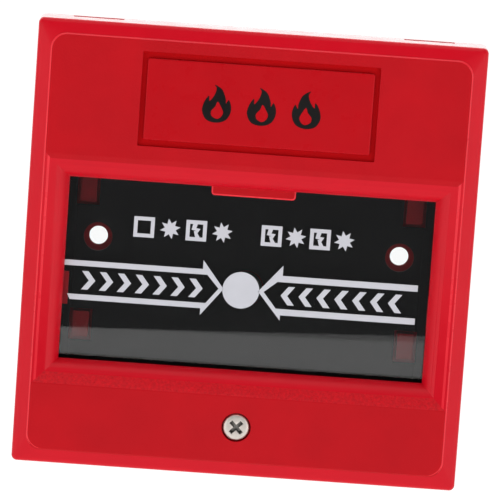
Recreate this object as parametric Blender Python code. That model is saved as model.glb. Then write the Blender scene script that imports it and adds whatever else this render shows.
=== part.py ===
"""Manual call point for a fire alarm, built as its separate pieces.

X runs to the right, Y into the wall and Z up. The origin is the centre of the
square plate's outline on the wall face, so everything at Y < 0 stands in front
of the wall and everything at Y > 0 goes into the wall box. All sizes below are
in millimetres and become metres when a mesh is written.
"""
import math

import bmesh
import bpy
from mathutils import Matrix

MM = 0.001
GAP = 0.3

# Plate outline and the levels from front to back
PLATE = 88.5
HALF = PLATE / 2
FIELD_Y = -13.0
RIM_Y = FIELD_Y + 0.25
EDGE_RADIUS = 1.1
RIM_FALL = 0.35
RIM_WIDTH = 2.95
COVER_REAR_Y = -2.5
BASE_FRONT_Y = -2.2
SEAM_CHAMFER = 0.3
DRAFT = 0.15
WALL = 2.0
FACE = 2.4

# Window with its dished surround
WINDOW_X = 36.15
WINDOW_TOP = 13.0
WINDOW_BOTTOM = -23.3
DISH_SIDE = 5.05
DISH_TOP = 4.8
DISH_BOTTOM = 4.9
# Share of the dish's width from the window outwards, and depth below the field
DISH_PROFILE = ((0.0, 3.4), (0.04, 2.85), (0.12, 2.2), (0.22, 1.65), (0.34, 1.22),
                (0.46, 0.92), (0.72, 0.42), (0.86, 0.14), (1.0, 0.0))
LIP_REAR_Y = -9.1
LIP_FRONT_Y = FIELD_Y + DISH_PROFILE[0][1]
TONGUE_WIDTH = 16.7
TONGUE_DROP = 1.75

# Glass with its side clips, backing plate and legend plate
CLIP_Z = (-12.7, -6.2)
GLASS_X = 38.2
GLASS_TOP = 14.6
GLASS_BOTTOM = -22.6
GLASS_FRONT_Y = -8.8
GLASS_THICK = 1.5
BACKING_X = 39.0
BACKING_TOP = 16.0
BACKING_BOTTOM = -26.2
BACKING_FRONT_Y = -5.7
BACKING_REAR_Y = -4.7
BACKING_STEP_X = 34.4
LEGEND_Z = 29.6
LEGEND_POCKET = (23.3, 9.3)
LEGEND_HALF = (22.25, 8.0)
LEGEND_FLOOR_Y = -12.1
PEG_X = 17.0

# Hinge of the cover on the base
HINGE_Y = -3.5
HINGE_Z = 43.25
HOOK_X = 32.7
HOOK_SLOT = 10.0
HOOK_SLOT_REACH = 2.25
HOOK_WIDTH = 9.0
BAR_RADIUS = 0.8

# Fixing to the wall box, and the cover screw
MOUNT_X = 30.0
MOUNT_Z = 1.0
MOUNT_HOLE = 1.85
MOUNT_SINK = (2.9, -3.3)
MOUNT_RECESS = 3.6
MOUNT_RECESS_Y = -2.4
SCREW_Z = -34.2
HEAD_RADIUS = 2.6
BOSS_FRONT_Y = -4.4
LATCH_X = 32.4
LATCH_ZS = (10.4, -16.8)
LATCH_SIZE = (3.3, 5.2)

# Plunger behind the glass, and the switch that it holds down
AXIS_Z = -7.3
PLUNGER_TIP_Y = -7.0
PLUNGER_END_Y = 4.25
STEM_RADIUS = 1.5
CHAMBER_RADIUS = 3.6
CHAMBER_FLOOR_Y = -1.4
SWITCH_X = (-14.3, 5.5)
SWITCH_Y = (5.9, 16.1)
SWITCH_HALF_Z = 3.2
PIVOT_X = -12.8
PIVOT_Y = 4.75
BUTTON_X = -4.8
PIN_XS = (-12.5, -4.4, 3.7)

# Circuit board and terminal block behind the base
BOARD_X = 24.0
BOARD_HALF_Z = 17.0
BOARD_Y = (16.4, 18.0)
POST_X = 21.0
POST_DZ = 14.0
BLOCK_Y = (18.3, 28.3)
BLOCK_Z = (AXIS_Z - 15.7, AXIS_Z - 7.7)
CLAMP_Z = AXIS_Z - 11.7
RESISTOR_Z = AXIS_Z + 10.7
RESISTOR_REACH = 5.2
POLES = 4
PITCH = 5.08


class Solid:
    """Closed shells gathered in one mesh, in millimetres."""

    def __init__(self):
        self.mesh = bmesh.new()

    def loft(self, loops, closed=False):
        """Skin a stack of equal loops, and cap it or join its last loop to its first."""
        rings = [[self.mesh.verts.new(point) for point in loop] for loop in loops]
        count = len(rings[0])
        pairs = list(zip(rings, rings[1:]))
        if closed:
            pairs.append((rings[-1], rings[0]))
        faces = []
        for low, high in pairs:
            for i in range(count):
                j = (i + 1) % count
                faces.append(self.mesh.faces.new((low[i], low[j], high[j], high[i])))
        if not closed:
            faces.append(self.mesh.faces.new(rings[0][::-1]))
            faces.append(self.mesh.faces.new(rings[-1]))
        bmesh.ops.recalc_face_normals(self.mesh, faces=faces)
        return self

    def box(self, x, y, z):
        """Block between the two values of each axis."""
        loops = [[(x[0], y[0], c), (x[1], y[0], c), (x[1], y[1], c), (x[0], y[1], c)] for c in z]
        return self.loft(loops)

    def turned(self, centre, profile, axis="Y", segments=24):
        """Stack of circles: each (radius, position) of the profile is one of them."""
        return self.loft([circle(centre, radius, at, axis, segments) for radius, at in profile])

    def ring(self, centre, profile, axis="Y", segments=24):
        """Turned ring whose profile is a closed outline of (radius, position) points."""
        loops = [circle(centre, radius, at, axis, segments) for radius, at in profile]
        return self.loft(loops, closed=True)

    def prism(self, outline, along, axis):
        """Outline in the plane across an axis, pulled between two places along it."""
        return self.loft([[place(u, v, at, axis) for u, v in outline] for at in along])


def place(u, v, at, axis):
    """Point at (u, v) in the plane across an axis: (y, z), (x, z) or (x, y)."""
    return {"X": (at, u, v), "Y": (u, at, v), "Z": (u, v, at)}[axis]


def circle(centre, radius, at, axis, segments):
    """Circle across an axis, centred on the point (u, v)."""
    angles = [2 * math.pi * i / segments for i in range(segments)]
    u, v = centre
    return [place(u + radius * math.cos(a), v + radius * math.sin(a), at, axis) for a in angles]


def rounded(x, z, radius, y, segments=5):
    """Rectangle between the two values of x and z with rounded corners, at one depth."""
    corners = (
        (x[1] - radius, z[1] - radius, 0),
        (x[0] + radius, z[1] - radius, 90),
        (x[0] + radius, z[0] + radius, 180),
        (x[1] - radius, z[0] + radius, 270),
    )
    points = []
    for cx, cz, start in corners:
        for i in range(segments + 1):
            angle = math.radians(start + 90 * i / segments)
            points.append((cx + radius * math.cos(angle), y, cz + radius * math.sin(angle)))
    return points


def square(half, radius, y):
    """Rounded square about the plate's centre."""
    return rounded((-half, half), (-half, half), radius, y)


def cross(size, width, turn):
    """Outline of a cross recess, turned by an angle in degrees."""
    reach, arm = size / 2, width / 2
    quarter = [(reach, -arm), (reach, arm), (arm, arm)]
    points = []
    for step in range(4):
        angle = math.radians(turn + 90 * step)
        cos, sin = math.cos(angle), math.sin(angle)
        points += [(u * cos - v * sin, u * sin + v * cos) for u, v in quarter]
    return points


def material(name, color, roughness, metallic=0.0, alpha=1.0, transmission=0.0):
    """Principled material of one plain colour."""
    made = bpy.data.materials.new(name)
    made.use_nodes = True
    shader = made.node_tree.nodes["Principled BSDF"]
    shader.inputs["Base Color"].default_value = (*color, 1.0)
    shader.inputs["Roughness"].default_value = roughness
    shader.inputs["Metallic"].default_value = metallic
    shader.inputs["Alpha"].default_value = alpha
    shader.inputs["Transmission Weight"].default_value = transmission
    made.diffuse_color = (*color, alpha)
    return made


def make(name, solid, surface=None):
    """Object from a solid, scaled to metres, with round faces shaded smooth."""
    solid.mesh.transform(Matrix.Scale(MM, 4))
    mesh = bpy.data.meshes.new(name)
    solid.mesh.to_mesh(mesh)
    solid.mesh.free()
    mesh.shade_smooth()
    mesh.set_sharp_from_angle(angle=math.radians(30))
    made = bpy.data.objects.new(name, mesh)
    bpy.context.scene.collection.objects.link(made)
    if surface:
        mesh.materials.append(surface)
    return made


def boolean(target, operation, label, solid):
    """Add a solid to the target, or cut it away, through a hidden operand."""
    operand = make(f"{target.name}_{label}", solid)
    operand.hide_render = True
    operand.display_type = "WIRE"
    modifier = target.modifiers.new(label, "BOOLEAN")
    modifier.operation = operation
    modifier.solver = "EXACT"
    modifier.object = operand


def add(target, label, solid):
    boolean(target, "UNION", label, solid)


def cut(target, label, solid):
    boolean(target, "DIFFERENCE", label, solid)


def joint_axis(name, location, children):
    """Empty on a joint's axis that carries the pieces which move with the joint."""
    at = [MM * value for value in location]
    empty = bpy.data.objects.new(name, None)
    empty.location = at
    empty.empty_display_size = 0.01
    bpy.context.scene.collection.objects.link(empty)
    for child in children:
        child.parent = empty
        child.matrix_parent_inverse = Matrix.Translation(at).inverted()


def dish_loop(reach, y):
    """Window outline grown towards the dish's outer outline by a share of the dish's width."""
    side = WINDOW_X + DISH_SIDE * reach
    top = WINDOW_TOP + DISH_TOP * reach
    bottom = WINDOW_BOTTOM - DISH_BOTTOM * reach
    return [(side, y, top), (-side, y, top), (-side, y, bottom), (side, y, bottom)]


def front_cover(red):
    """Hinged front: a shell with the dished window, legend pocket, hinge bars and glass clips."""
    edge = HALF - DRAFT
    edge_y = RIM_Y + RIM_FALL + EDGE_RADIUS
    loops = [
        square(HALF - SEAM_CHAMFER, 0.9, COVER_REAR_Y),
        square(HALF, 1.1, COVER_REAR_Y - SEAM_CHAMFER),
        square(edge, 1.1, edge_y),
    ]
    for step in range(1, 5):
        angle = math.radians(20 * step)
        inset = EDGE_RADIUS * (1 - math.cos(angle))
        loops.append(square(edge - inset, 1.1, edge_y - EDGE_RADIUS * math.sin(angle)))
    loops.append(square(HALF - RIM_WIDTH, 3.0, RIM_Y))
    loops.append(square(HALF - RIM_WIDTH - 0.15, 3.0, FIELD_Y))
    cover = make("front_cover", Solid().loft(loops), red)

    inner = HALF - WALL
    cut(cover, "cavity", Solid().loft([square(inner, 0.8, -1.5), square(inner, 0.8, LIP_REAR_Y)]))
    pockets = Solid()
    for low, high in ((18.6, inner - 1.4), (1.4 - inner, -29.8)):
        pockets.box((-40.4, 40.4), (FIELD_Y + FACE, LIP_REAR_Y + 1.0), (low, high))
    cut(cover, "pockets", pockets)

    dish = [dish_loop(0.0, LIP_REAR_Y + 1.0)]
    for reach, depth in DISH_PROFILE:
        dish.append(dish_loop(reach, FIELD_Y + depth))
    dish.append(dish_loop(1.0, FIELD_Y - 1.0))
    cut(cover, "dish", Solid().loft(dish))

    add(cover, "inner_features", cover_inner_features())

    pocket = LEGEND_POCKET
    recesses = Solid().loft([
        rounded((-pocket[0], pocket[0]), (LEGEND_Z - pocket[1], LEGEND_Z + pocket[1]), 0.3, y, 2)
        for y in (FIELD_Y - 1.0, LEGEND_FLOOR_Y)
    ])
    recesses.turned((0, SCREW_Z), [(HEAD_RADIUS + GAP, FIELD_Y - 1.0), (HEAD_RADIUS + GAP, -11.3)])
    cut(cover, "recesses", recesses)

    holes = Solid().turned((0, SCREW_Z), [(1.8, -12.0), (1.8, -8.0)])
    for x in (-PEG_X, PEG_X):
        holes.turned((x, LEGEND_Z), [(1.45, -12.5), (1.45, -10.0)])
    cut(cover, "holes", holes)

    slots, bars = Solid(), Solid()
    for side in (-1, 1):
        reach = HOOK_SLOT / 2
        slots.box(
            (side * HOOK_X - reach, side * HOOK_X + reach),
            (HINGE_Y - HOOK_SLOT_REACH, COVER_REAR_Y + 0.5),
            (inner - 0.4, HALF + 0.5),
        )
        ends = (side * HOOK_X - reach - 0.2, side * HOOK_X + reach + 0.2)
        bars.turned((HINGE_Y, HINGE_Z), [(BAR_RADIUS, at) for at in ends], "X", 16)
    cut(cover, "hook_slots", slots)
    add(cover, "hinge_bars", bars)
    return cover


def cover_inner_features():
    """Tongue, screw boss, and the clips and ledges that hold the glass behind the window."""
    rear = GLASS_FRONT_Y + GLASS_THICK + GAP
    root = LIP_REAR_Y - 0.2
    features = Solid().turned((0, SCREW_Z), [(4.0, FIELD_Y + FACE - 0.2), (4.0, -9.4)], segments=32)
    half = TONGUE_WIDTH / 2
    tongue = [(half, WINDOW_TOP + 0.3), (-half, WINDOW_TOP + 0.3)]
    for start, centre in ((180, 0.7 - half), (270, half - 0.7)):
        for step in range(5):
            angle = math.radians(start + 22.5 * step)
            low = WINDOW_TOP - TONGUE_DROP + 0.7
            tongue.append((centre + 0.7 * math.cos(angle), low + 0.7 * math.sin(angle)))
    features.prism([(x + 0.2, z) for x, z in tongue], (LIP_FRONT_Y + 0.02, LIP_REAR_Y - 0.02), "Y")
    for side, reach in ((-1, 35.2), (1, 36.2)):
        arm = GLASS_X + GAP
        clip = [
            (side * arm, root),
            (side * (arm + 1.4), root),
            (side * (arm + 1.4), rear + 0.7),
            (side * reach, rear + 0.7),
            (side * reach, rear),
            (side * arm, rear),
        ]
        features.prism(clip, CLIP_Z, "Z")
        ledge = sorted((side * 36.6, side * 38.4))
        features.box(ledge, (root, rear), (GLASS_BOTTOM - 1.3, GLASS_BOTTOM - GAP))
    features.box((-10, 10), (root, rear), (GLASS_TOP + GAP, GLASS_TOP + GAP + 1.0))
    return features


def legend_plate(red):
    """Smooth plate in the pocket above the window, staked through the cover by two pegs."""
    x, z = LEGEND_HALF
    rear = LEGEND_FLOOR_Y - GAP
    levels = ((0.0, rear), (0.0, FIELD_Y + 0.2), (0.2, FIELD_Y))
    plate = make("legend_plate", Solid().loft([
        rounded((inset - x, x - inset), (LEGEND_Z - z + inset, LEGEND_Z + z - inset), 0.4, y, 3)
        for inset, y in levels
    ]), red)
    pegs = Solid()
    for peg_x in (-PEG_X, PEG_X):
        pegs.turned((peg_x, LEGEND_Z), [(1.15, rear - 0.2), (1.15, -10.3)])
    add(plate, "pegs", pegs)
    return plate


def glass_pane(glass):
    """Pane that keeps the plunger pushed in until it breaks."""
    levels = ((0.15, GLASS_FRONT_Y), (0.0, GLASS_FRONT_Y + 0.15),
              (0.0, GLASS_FRONT_Y + GLASS_THICK - 0.15), (0.15, GLASS_FRONT_Y + GLASS_THICK))
    return make("glass_pane", Solid().loft([
        rounded((inset - GLASS_X, GLASS_X - inset),
                (GLASS_BOTTOM + inset, GLASS_TOP - inset), 0.6, y, 3)
        for inset, y in levels
    ]), glass)


def cover_screw(nickel):
    """Screw with a domed head and a cross recess that keeps the cover shut."""
    profile = [(1.5, -12.86), (2.0, -12.74), (2.4, -12.5), (HEAD_RADIUS, -12.15),
               (HEAD_RADIUS, -11.6), (1.5, -11.6), (1.5, -4.9), (1.1, -4.5)]
    screw = make("cover_screw", Solid().turned((0, SCREW_Z), profile), nickel)
    recess = [(u, SCREW_Z + v) for u, v in cross(3.1, 0.8, 45)]
    cut(screw, "recess", Solid().prism(recess, (-13.2, -12.0), "Y"))
    return screw


def screw_washer(steel):
    """Ring on the shank that keeps the screw captive in the cover."""
    return make("screw_washer", Solid().ring(
        (0, SCREW_Z), [(1.8, -9.1), (3.2, -9.1), (3.2, -8.6), (1.8, -8.6)]), steel)


def screw_insert(brass):
    """Brass insert in the base's boss, with a groove round it that grips the plastic."""
    profile = [(2.0, -8.1), (2.7, -8.1), (2.7, -6.6), (2.45, -6.4), (2.45, -5.9),
               (2.7, -5.7), (2.7, -4.2), (2.0, -4.2)]
    return make("screw_insert", Solid().ring((0, SCREW_Z), profile), brass)


def hook_outline():
    """Cup under a hinge bar, open upwards, in the plane across X."""
    inner, outer = BAR_RADIUS + GAP, BAR_RADIUS + GAP + 0.65
    points = []
    for radius, sweep in ((outer, range(170, 371, 20)), (inner, range(370, 169, -20))):
        for degrees in sweep:
            angle = math.radians(degrees)
            points.append((HINGE_Y + radius * math.cos(angle), HINGE_Z + radius * math.sin(angle)))
    return points


def base_plate(red):
    """Plate against the wall: rim, wall-screw bosses, plunger tube, hooks and board posts."""
    plate = make("base_plate", Solid().loft([
        square(HALF - DRAFT, 1.1, 0.0),
        square(HALF - DRAFT, 1.1, BASE_FRONT_Y + SEAM_CHAMFER),
        square(HALF - DRAFT - SEAM_CHAMFER, 0.9, BASE_FRONT_Y),
    ]), red)
    root = BASE_FRONT_Y + 0.2

    side, end = HALF - WALL - 0.5, HALF - WALL - 1.05
    rim = []
    for inset, y in ((0, root), (0, -6.2), (1.6, -6.2), (1.6, root)):
        rim.append(rounded((inset - side, side - inset), (inset - end, end - inset), 0.6, y, 2))
    add(plate, "rim", Solid().loft(rim, closed=True))

    front = Solid()
    for x in (-MOUNT_X, MOUNT_X):
        front.turned((x, MOUNT_Z), [(4.6, root), (4.6, BOSS_FRONT_Y)], segments=32)
    front.turned((0, AXIS_Z), [(5.2, root), (5.2, BOSS_FRONT_Y)], segments=32)
    front.turned((0, SCREW_Z), [(4.2, root), (4.2, -8.2)], segments=32)
    for x in (-LATCH_X, LATCH_X):
        for z in LATCH_ZS:
            half_x, half_z = LATCH_SIZE[0] / 2, LATCH_SIZE[1] / 2
            front.box((x - half_x, x + half_x), (root, -5.0), (z - half_z, z + half_z))
    for x in (-HOOK_X, HOOK_X):
        front.prism(hook_outline(), (x - HOOK_WIDTH / 2, x + HOOK_WIDTH / 2), "X")
    add(plate, "front_features", front)

    posts = Solid()
    for x, z in post_places():
        posts.turned((x, z), [(2.8, -0.5), (2.8, BOARD_Y[0] - GAP)])
    add(plate, "posts", posts)

    bores = Solid()
    for x in (-MOUNT_X, MOUNT_X):
        bores.turned((x, MOUNT_Z), [
            (MOUNT_SINK[0], BOSS_FRONT_Y - 1), (MOUNT_SINK[0], BOSS_FRONT_Y),
            (MOUNT_HOLE, MOUNT_SINK[1]), (MOUNT_HOLE, MOUNT_RECESS_Y),
            (MOUNT_RECESS, MOUNT_RECESS_Y), (MOUNT_RECESS, 1.0),
        ])
    bores.turned((0, AXIS_Z), [
        (CHAMBER_RADIUS, BOSS_FRONT_Y - 1), (CHAMBER_RADIUS, CHAMBER_FLOOR_Y),
        (STEM_RADIUS + 0.25, CHAMBER_FLOOR_Y), (STEM_RADIUS + 0.25, 1.0),
    ])
    bores.turned((0, SCREW_Z), [(3.0, -9.0), (3.0, -3.9)])
    for x, z in post_places():
        bores.turned((x, z), [(1.45, 9.5), (1.45, BOARD_Y[1])], segments=16)
    cut(plate, "bores", bores)
    return plate


def post_places():
    """Centres of the four board posts."""
    return [(x, AXIS_Z + dz) for x in (-POST_X, POST_X) for dz in (-POST_DZ, POST_DZ)]


def backing_plate(black):
    """Black plate behind the glass, clipped over four latches of the base."""
    z = (BACKING_BOTTOM, BACKING_TOP)
    plate = make("backing_plate", Solid().loft([
        rounded((-BACKING_X, BACKING_X), z, 0.8, y, 3) for y in (BACKING_REAR_Y, BACKING_FRONT_Y)
    ]), black)
    borders = Solid()
    for side in (-1, 1):
        x = sorted((side * BACKING_STEP_X, side * (BACKING_X - 0.4)))
        borders.box(x, (BACKING_FRONT_Y - 0.3, BACKING_FRONT_Y + 0.3), (z[0] + 0.9, z[1] - 0.9))
    add(plate, "borders", borders)
    holes = Solid().turned((0, AXIS_Z), [(3.6, -7.0), (3.6, -4.0)])
    for x in (-MOUNT_X, MOUNT_X):
        holes.turned((x, MOUNT_Z), [(2.85, -7.0), (2.85, -4.0)])
    for x in (-LATCH_X, LATCH_X):
        for latch_z in LATCH_ZS:
            half_x, half_z = LATCH_SIZE[0] / 2 + 0.6, LATCH_SIZE[1] / 2 + 0.6
            holes.box((x - half_x, x + half_x), (-7.0, -4.0), (latch_z - half_z, latch_z + half_z))
    cut(plate, "holes", holes)
    return plate


def plunger(dark):
    """Spring-loaded plunger: its head leans on the glass, its stem holds the switch lever down."""
    profile = [(1.6, PLUNGER_TIP_Y), (2.6, -6.85), (3.2, -6.4), (3.2, -4.2), (STEM_RADIUS, -4.2),
               (STEM_RADIUS, 2.95), (1.1, 2.95), (1.1, 3.75), (STEM_RADIUS, 3.75),
               (STEM_RADIUS, 4.05), (1.2, PLUNGER_END_Y)]
    return make("plunger", Solid().turned((0, AXIS_Z), profile), dark)


def plunger_ring(steel):
    """Retaining ring in the stem's groove: it stops the plunger leaving the base."""
    return make("plunger_ring", Solid().ring(
        (0, AXIS_Z), [(1.35, 3.15), (2.6, 3.15), (2.6, 3.55), (1.35, 3.55)]), steel)


def plunger_spring(steel):
    """Coil spring round the stem, between the head and the floor of the base's tube."""
    coil, wire, turns, steps = 2.4, 0.22, 3, 16
    start, end = CHAMBER_FLOOR_Y - GAP - wire, -4.2 + GAP + wire
    loops = []
    for step in range(turns * steps + 1):
        angle = 2 * math.pi * step / steps
        y = start + (end - start) * step / (turns * steps)
        loop = []
        for side in range(8):
            tilt = 2 * math.pi * side / 8
            radius = coil + wire * math.cos(tilt)
            loop.append((
                radius * math.cos(angle), y + wire * math.sin(tilt), AXIS_Z + radius * math.sin(angle)
            ))
        loops.append(loop)
    return make("plunger_spring", Solid().loft(loops), steel)


def switch_body(black):
    """Snap-action switch case with two ears for the lever and a pocket for its button."""
    z = (AXIS_Z - SWITCH_HALF_Z, AXIS_Z + SWITCH_HALF_Z)
    low, high = SWITCH_Y
    body = make("switch_body", Solid().loft([
        rounded((SWITCH_X[0] + inset, SWITCH_X[1] - inset), (z[0] + inset, z[1] - inset), 0.4, y, 2)
        for inset, y in ((0.3, low), (0.0, low + 0.3), (0.0, high - 0.3), (0.3, high))
    ]), black)
    ears = Solid()
    for side in (-1, 1):
        ear = [(PIVOT_X + 1.1, low + 0.5), (PIVOT_X - 1.1, low + 0.5)]
        for step in range(9):
            angle = math.radians(180 + 22.5 * step)
            ear.append((PIVOT_X + 1.1 * math.cos(angle), PIVOT_Y + 1.1 * math.sin(angle)))
        along = sorted((AXIS_Z + side * 2.3, AXIS_Z + side * 2.85))
        ears.prism(ear, along, "Z")
    add(body, "ears", ears)
    holes = Solid().turned((PIVOT_X, PIVOT_Y), [(0.65, z[0] - 1), (0.65, z[1] + 1)], "Z", 16)
    for x in (-9.15, 0.35):
        holes.turned((x, 13.0), [(1.1, z[0] - 1), (1.1, z[1] + 1)], "Z", 16)
    holes.box((BUTTON_X - 0.9, BUTTON_X + 0.9), (low - 1, 7.4), (AXIS_Z - 1.5, AXIS_Z + 1.5))
    for x in PIN_XS:
        holes.box((x - 0.9, x + 0.9), (14.6, high + 1), (AXIS_Z - 0.55, AXIS_Z + 0.55))
    cut(body, "holes", holes)
    return body


def switch_lever(steel):
    """Sheet lever with a knuckle round its pin; the plunger's stem bears on its far end."""
    outline = [(PIVOT_X, 4.55), (2.0, 4.55), (2.6, 4.7), (2.5, 5.1), (1.9, 4.95), (PIVOT_X, 4.95)]
    lever = make("switch_lever", Solid().prism(outline, (AXIS_Z - 2.0, AXIS_Z + 2.0), "Z"), steel)
    ends = (AXIS_Z - 1.95, AXIS_Z + 1.95)
    add(lever, "knuckle", Solid().turned((PIVOT_X, PIVOT_Y), [(0.95, at) for at in ends], "Z", 16))
    ends = (AXIS_Z - 2.5, AXIS_Z + 2.5)
    cut(lever, "bore", Solid().turned((PIVOT_X, PIVOT_Y), [(0.65, at) for at in ends], "Z", 16))
    return lever


def switch_lever_pin(steel):
    ends = (AXIS_Z - 3.0, AXIS_Z + 3.0)
    profile = [(0.4, at) for at in ends]
    return make("switch_lever_pin", Solid().turned((PIVOT_X, PIVOT_Y), profile, "Z", 12), steel)


def switch_button(white):
    """Button under the lever, in its pocket of the switch case."""
    return make("switch_button", Solid().loft([
        rounded((BUTTON_X - x, BUTTON_X + x), (AXIS_Z - z, AXIS_Z + z), 0.25, y, 2)
        for x, z, y in ((0.4, 1.0, 5.25), (0.6, 1.2, 5.4), (0.6, 1.2, 7.1))
    ]), white)


def switch_pin(index, x, steel):
    """Contact pin from the switch through the board."""
    return make(f"switch_pin_{index}", Solid().loft([
        [(x - w, y, AXIS_Z - t), (x + w, y, AXIS_Z - t), (x + w, y, AXIS_Z + t), (x - w, y, AXIS_Z + t)]
        for w, t, y in ((0.6, 0.25, 14.9), (0.6, 0.25, 19.0), (0.35, 0.15, 19.5))
    ]), steel)


def pole_places():
    """Centre lines of the terminal block's poles."""
    return [PITCH * (index - (POLES - 1) / 2) for index in range(POLES)]


def circuit_board(green):
    """Board on four posts, with the switch on its front and the terminals on its back."""
    z = (AXIS_Z - BOARD_HALF_Z, AXIS_Z + BOARD_HALF_Z)
    board = make("circuit_board", Solid().loft([
        rounded((-BOARD_X, BOARD_X), z, 2.0, y, 4) for y in BOARD_Y
    ]), green)
    through = (BOARD_Y[0] - 1, BOARD_Y[1] + 1)
    holes = Solid()
    for x, post_z in post_places():
        holes.turned((x, post_z), [(1.5, at) for at in through], segments=16)
    for x in PIN_XS:
        holes.box((x - 0.9, x + 0.9), through, (AXIS_Z - 0.55, AXIS_Z + 0.55))
    for x in pole_places():
        holes.turned((x, CLAMP_Z), [(0.85, at) for at in through], segments=12)
    for x in (-RESISTOR_REACH, RESISTOR_REACH):
        holes.turned((x, RESISTOR_Z), [(0.6, at) for at in through], segments=12)
    cut(board, "holes", holes)
    return board


def board_screw(index, place_at, steel):
    """Screw that holds the board on one post."""
    profile = [(1.1, 10.0), (1.1, 18.3), (2.3, 18.3), (2.3, 19.1), (1.9, 19.5), (1.2, 19.65)]
    screw = make(f"board_screw_{index}", Solid().turned(place_at, profile, segments=20), steel)
    recess = [(place_at[0] + u, place_at[1] + v) for u, v in cross(2.4, 0.6, 20)]
    cut(screw, "recess", Solid().prism(recess, (19.0, 20.0), "Y"))
    return screw


def terminal_block(blue):
    """Four-pole block: wires enter from below, clamping screws face the back."""
    half = POLES * PITCH / 2 + 0.2
    block = make("terminal_block", Solid().prism(
        [(BLOCK_Y[0], BLOCK_Z[0]), (BLOCK_Y[0], BLOCK_Z[1]), (26.6, BLOCK_Z[1]),
         (BLOCK_Y[1], BLOCK_Z[1] - 1.7), (BLOCK_Y[1], BLOCK_Z[0] + 1.2), (24.9, BLOCK_Z[0])],
        (-half, half), "X"), blue)
    chambers, wells, pin_holes = Solid(), Solid(), Solid()
    for x in pole_places():
        chambers.box((x - 1.75, x + 1.75), (19.8, 24.8), (BLOCK_Z[0] - 0.5, CLAMP_Z + 2.8))
        wells.turned((x, CLAMP_Z), [(1.9, 24.0), (1.9, 29.0)], segments=20)
        pin_holes.turned((x, CLAMP_Z), [(0.85, 17.5), (0.85, 20.5)], segments=12)
    cut(block, "chambers", chambers)
    cut(block, "wells", wells)
    cut(block, "pin_holes", pin_holes)
    return block


def terminal_clamp(index, x, brass):
    """Wire cage with its solder pin; the clamping screw reaches through its top."""
    cage = [
        [(x - w, y0, z), (x + w, y0, z), (x + w, y1, z), (x - w, y1, z)]
        for w, y0, y1, z in ((1.4, 20.2, 24.4, CLAMP_Z - 2.8), (1.4, 20.2, 24.4, CLAMP_Z + 2.4),
                             (0.85, 21.0, 23.8, CLAMP_Z + 2.4), (0.85, 21.0, 23.8, CLAMP_Z - 2.8))
    ]
    clamp = make(f"terminal_clamp_{index}", Solid().loft(cage, closed=True), brass)
    pin = Solid().turned((x, CLAMP_Z), [(0.5, 15.4), (0.5, 20.4)], segments=12)
    add(clamp, "pin", pin)
    hole = Solid().turned((x, CLAMP_Z), [(1.1, 23.0), (1.1, 25.0)], segments=12)
    cut(clamp, "hole", hole)
    return clamp


def terminal_screw(index, x, steel):
    """Slotted clamping screw of one pole."""
    profile = [(0.8, 22.2), (0.8, 25.2), (1.6, 25.2), (1.6, 27.0), (1.4, 27.2)]
    screw = make(f"terminal_screw_{index}", Solid().turned((x, CLAMP_Z), profile, segments=20), steel)
    cut(screw, "slot", Solid().box((x - 2.5, x + 2.5), (26.5, 28), (CLAMP_Z - 0.3, CLAMP_Z + 0.3)))
    return screw


def resistor(tan):
    """Series resistor on the board's back, with its leads bent through the board."""
    level = 19.9
    body = [(0.6, -3.4), (1.15, -3.2), (1.15, -2.1), (0.95, -1.8), (0.95, 1.8), (1.15, 2.1),
            (1.15, 3.2), (0.6, 3.4)]
    made = make("resistor", Solid().turned((level, RESISTOR_Z), body, "X", 16), tan)
    for side, label in ((-1, "left_lead"), (1, "right_lead")):
        wire, bend, loops = 0.28, 1.0, []
        path = [(3.0, level, 90)]
        for degrees in (90, 60, 30, 0):
            angle = math.radians(degrees)
            path.append((
                RESISTOR_REACH - bend + bend * math.cos(angle),
                level - bend + bend * math.sin(angle),
                degrees,
            ))
        path.append((RESISTOR_REACH, 15.6, 0))
        for x, y, degrees in path:
            lean = math.radians(degrees)
            loop = []
            for step in range(8):
                turn = 2 * math.pi * step / 8
                out = wire * math.cos(turn)
                loop.append((
                    side * (x + out * math.cos(lean)), y + out * math.sin(lean),
                    RESISTOR_Z + wire * math.sin(turn),
                ))
            loops.append(loop)
        add(made, label, Solid().loft(loops))
    return made


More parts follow.
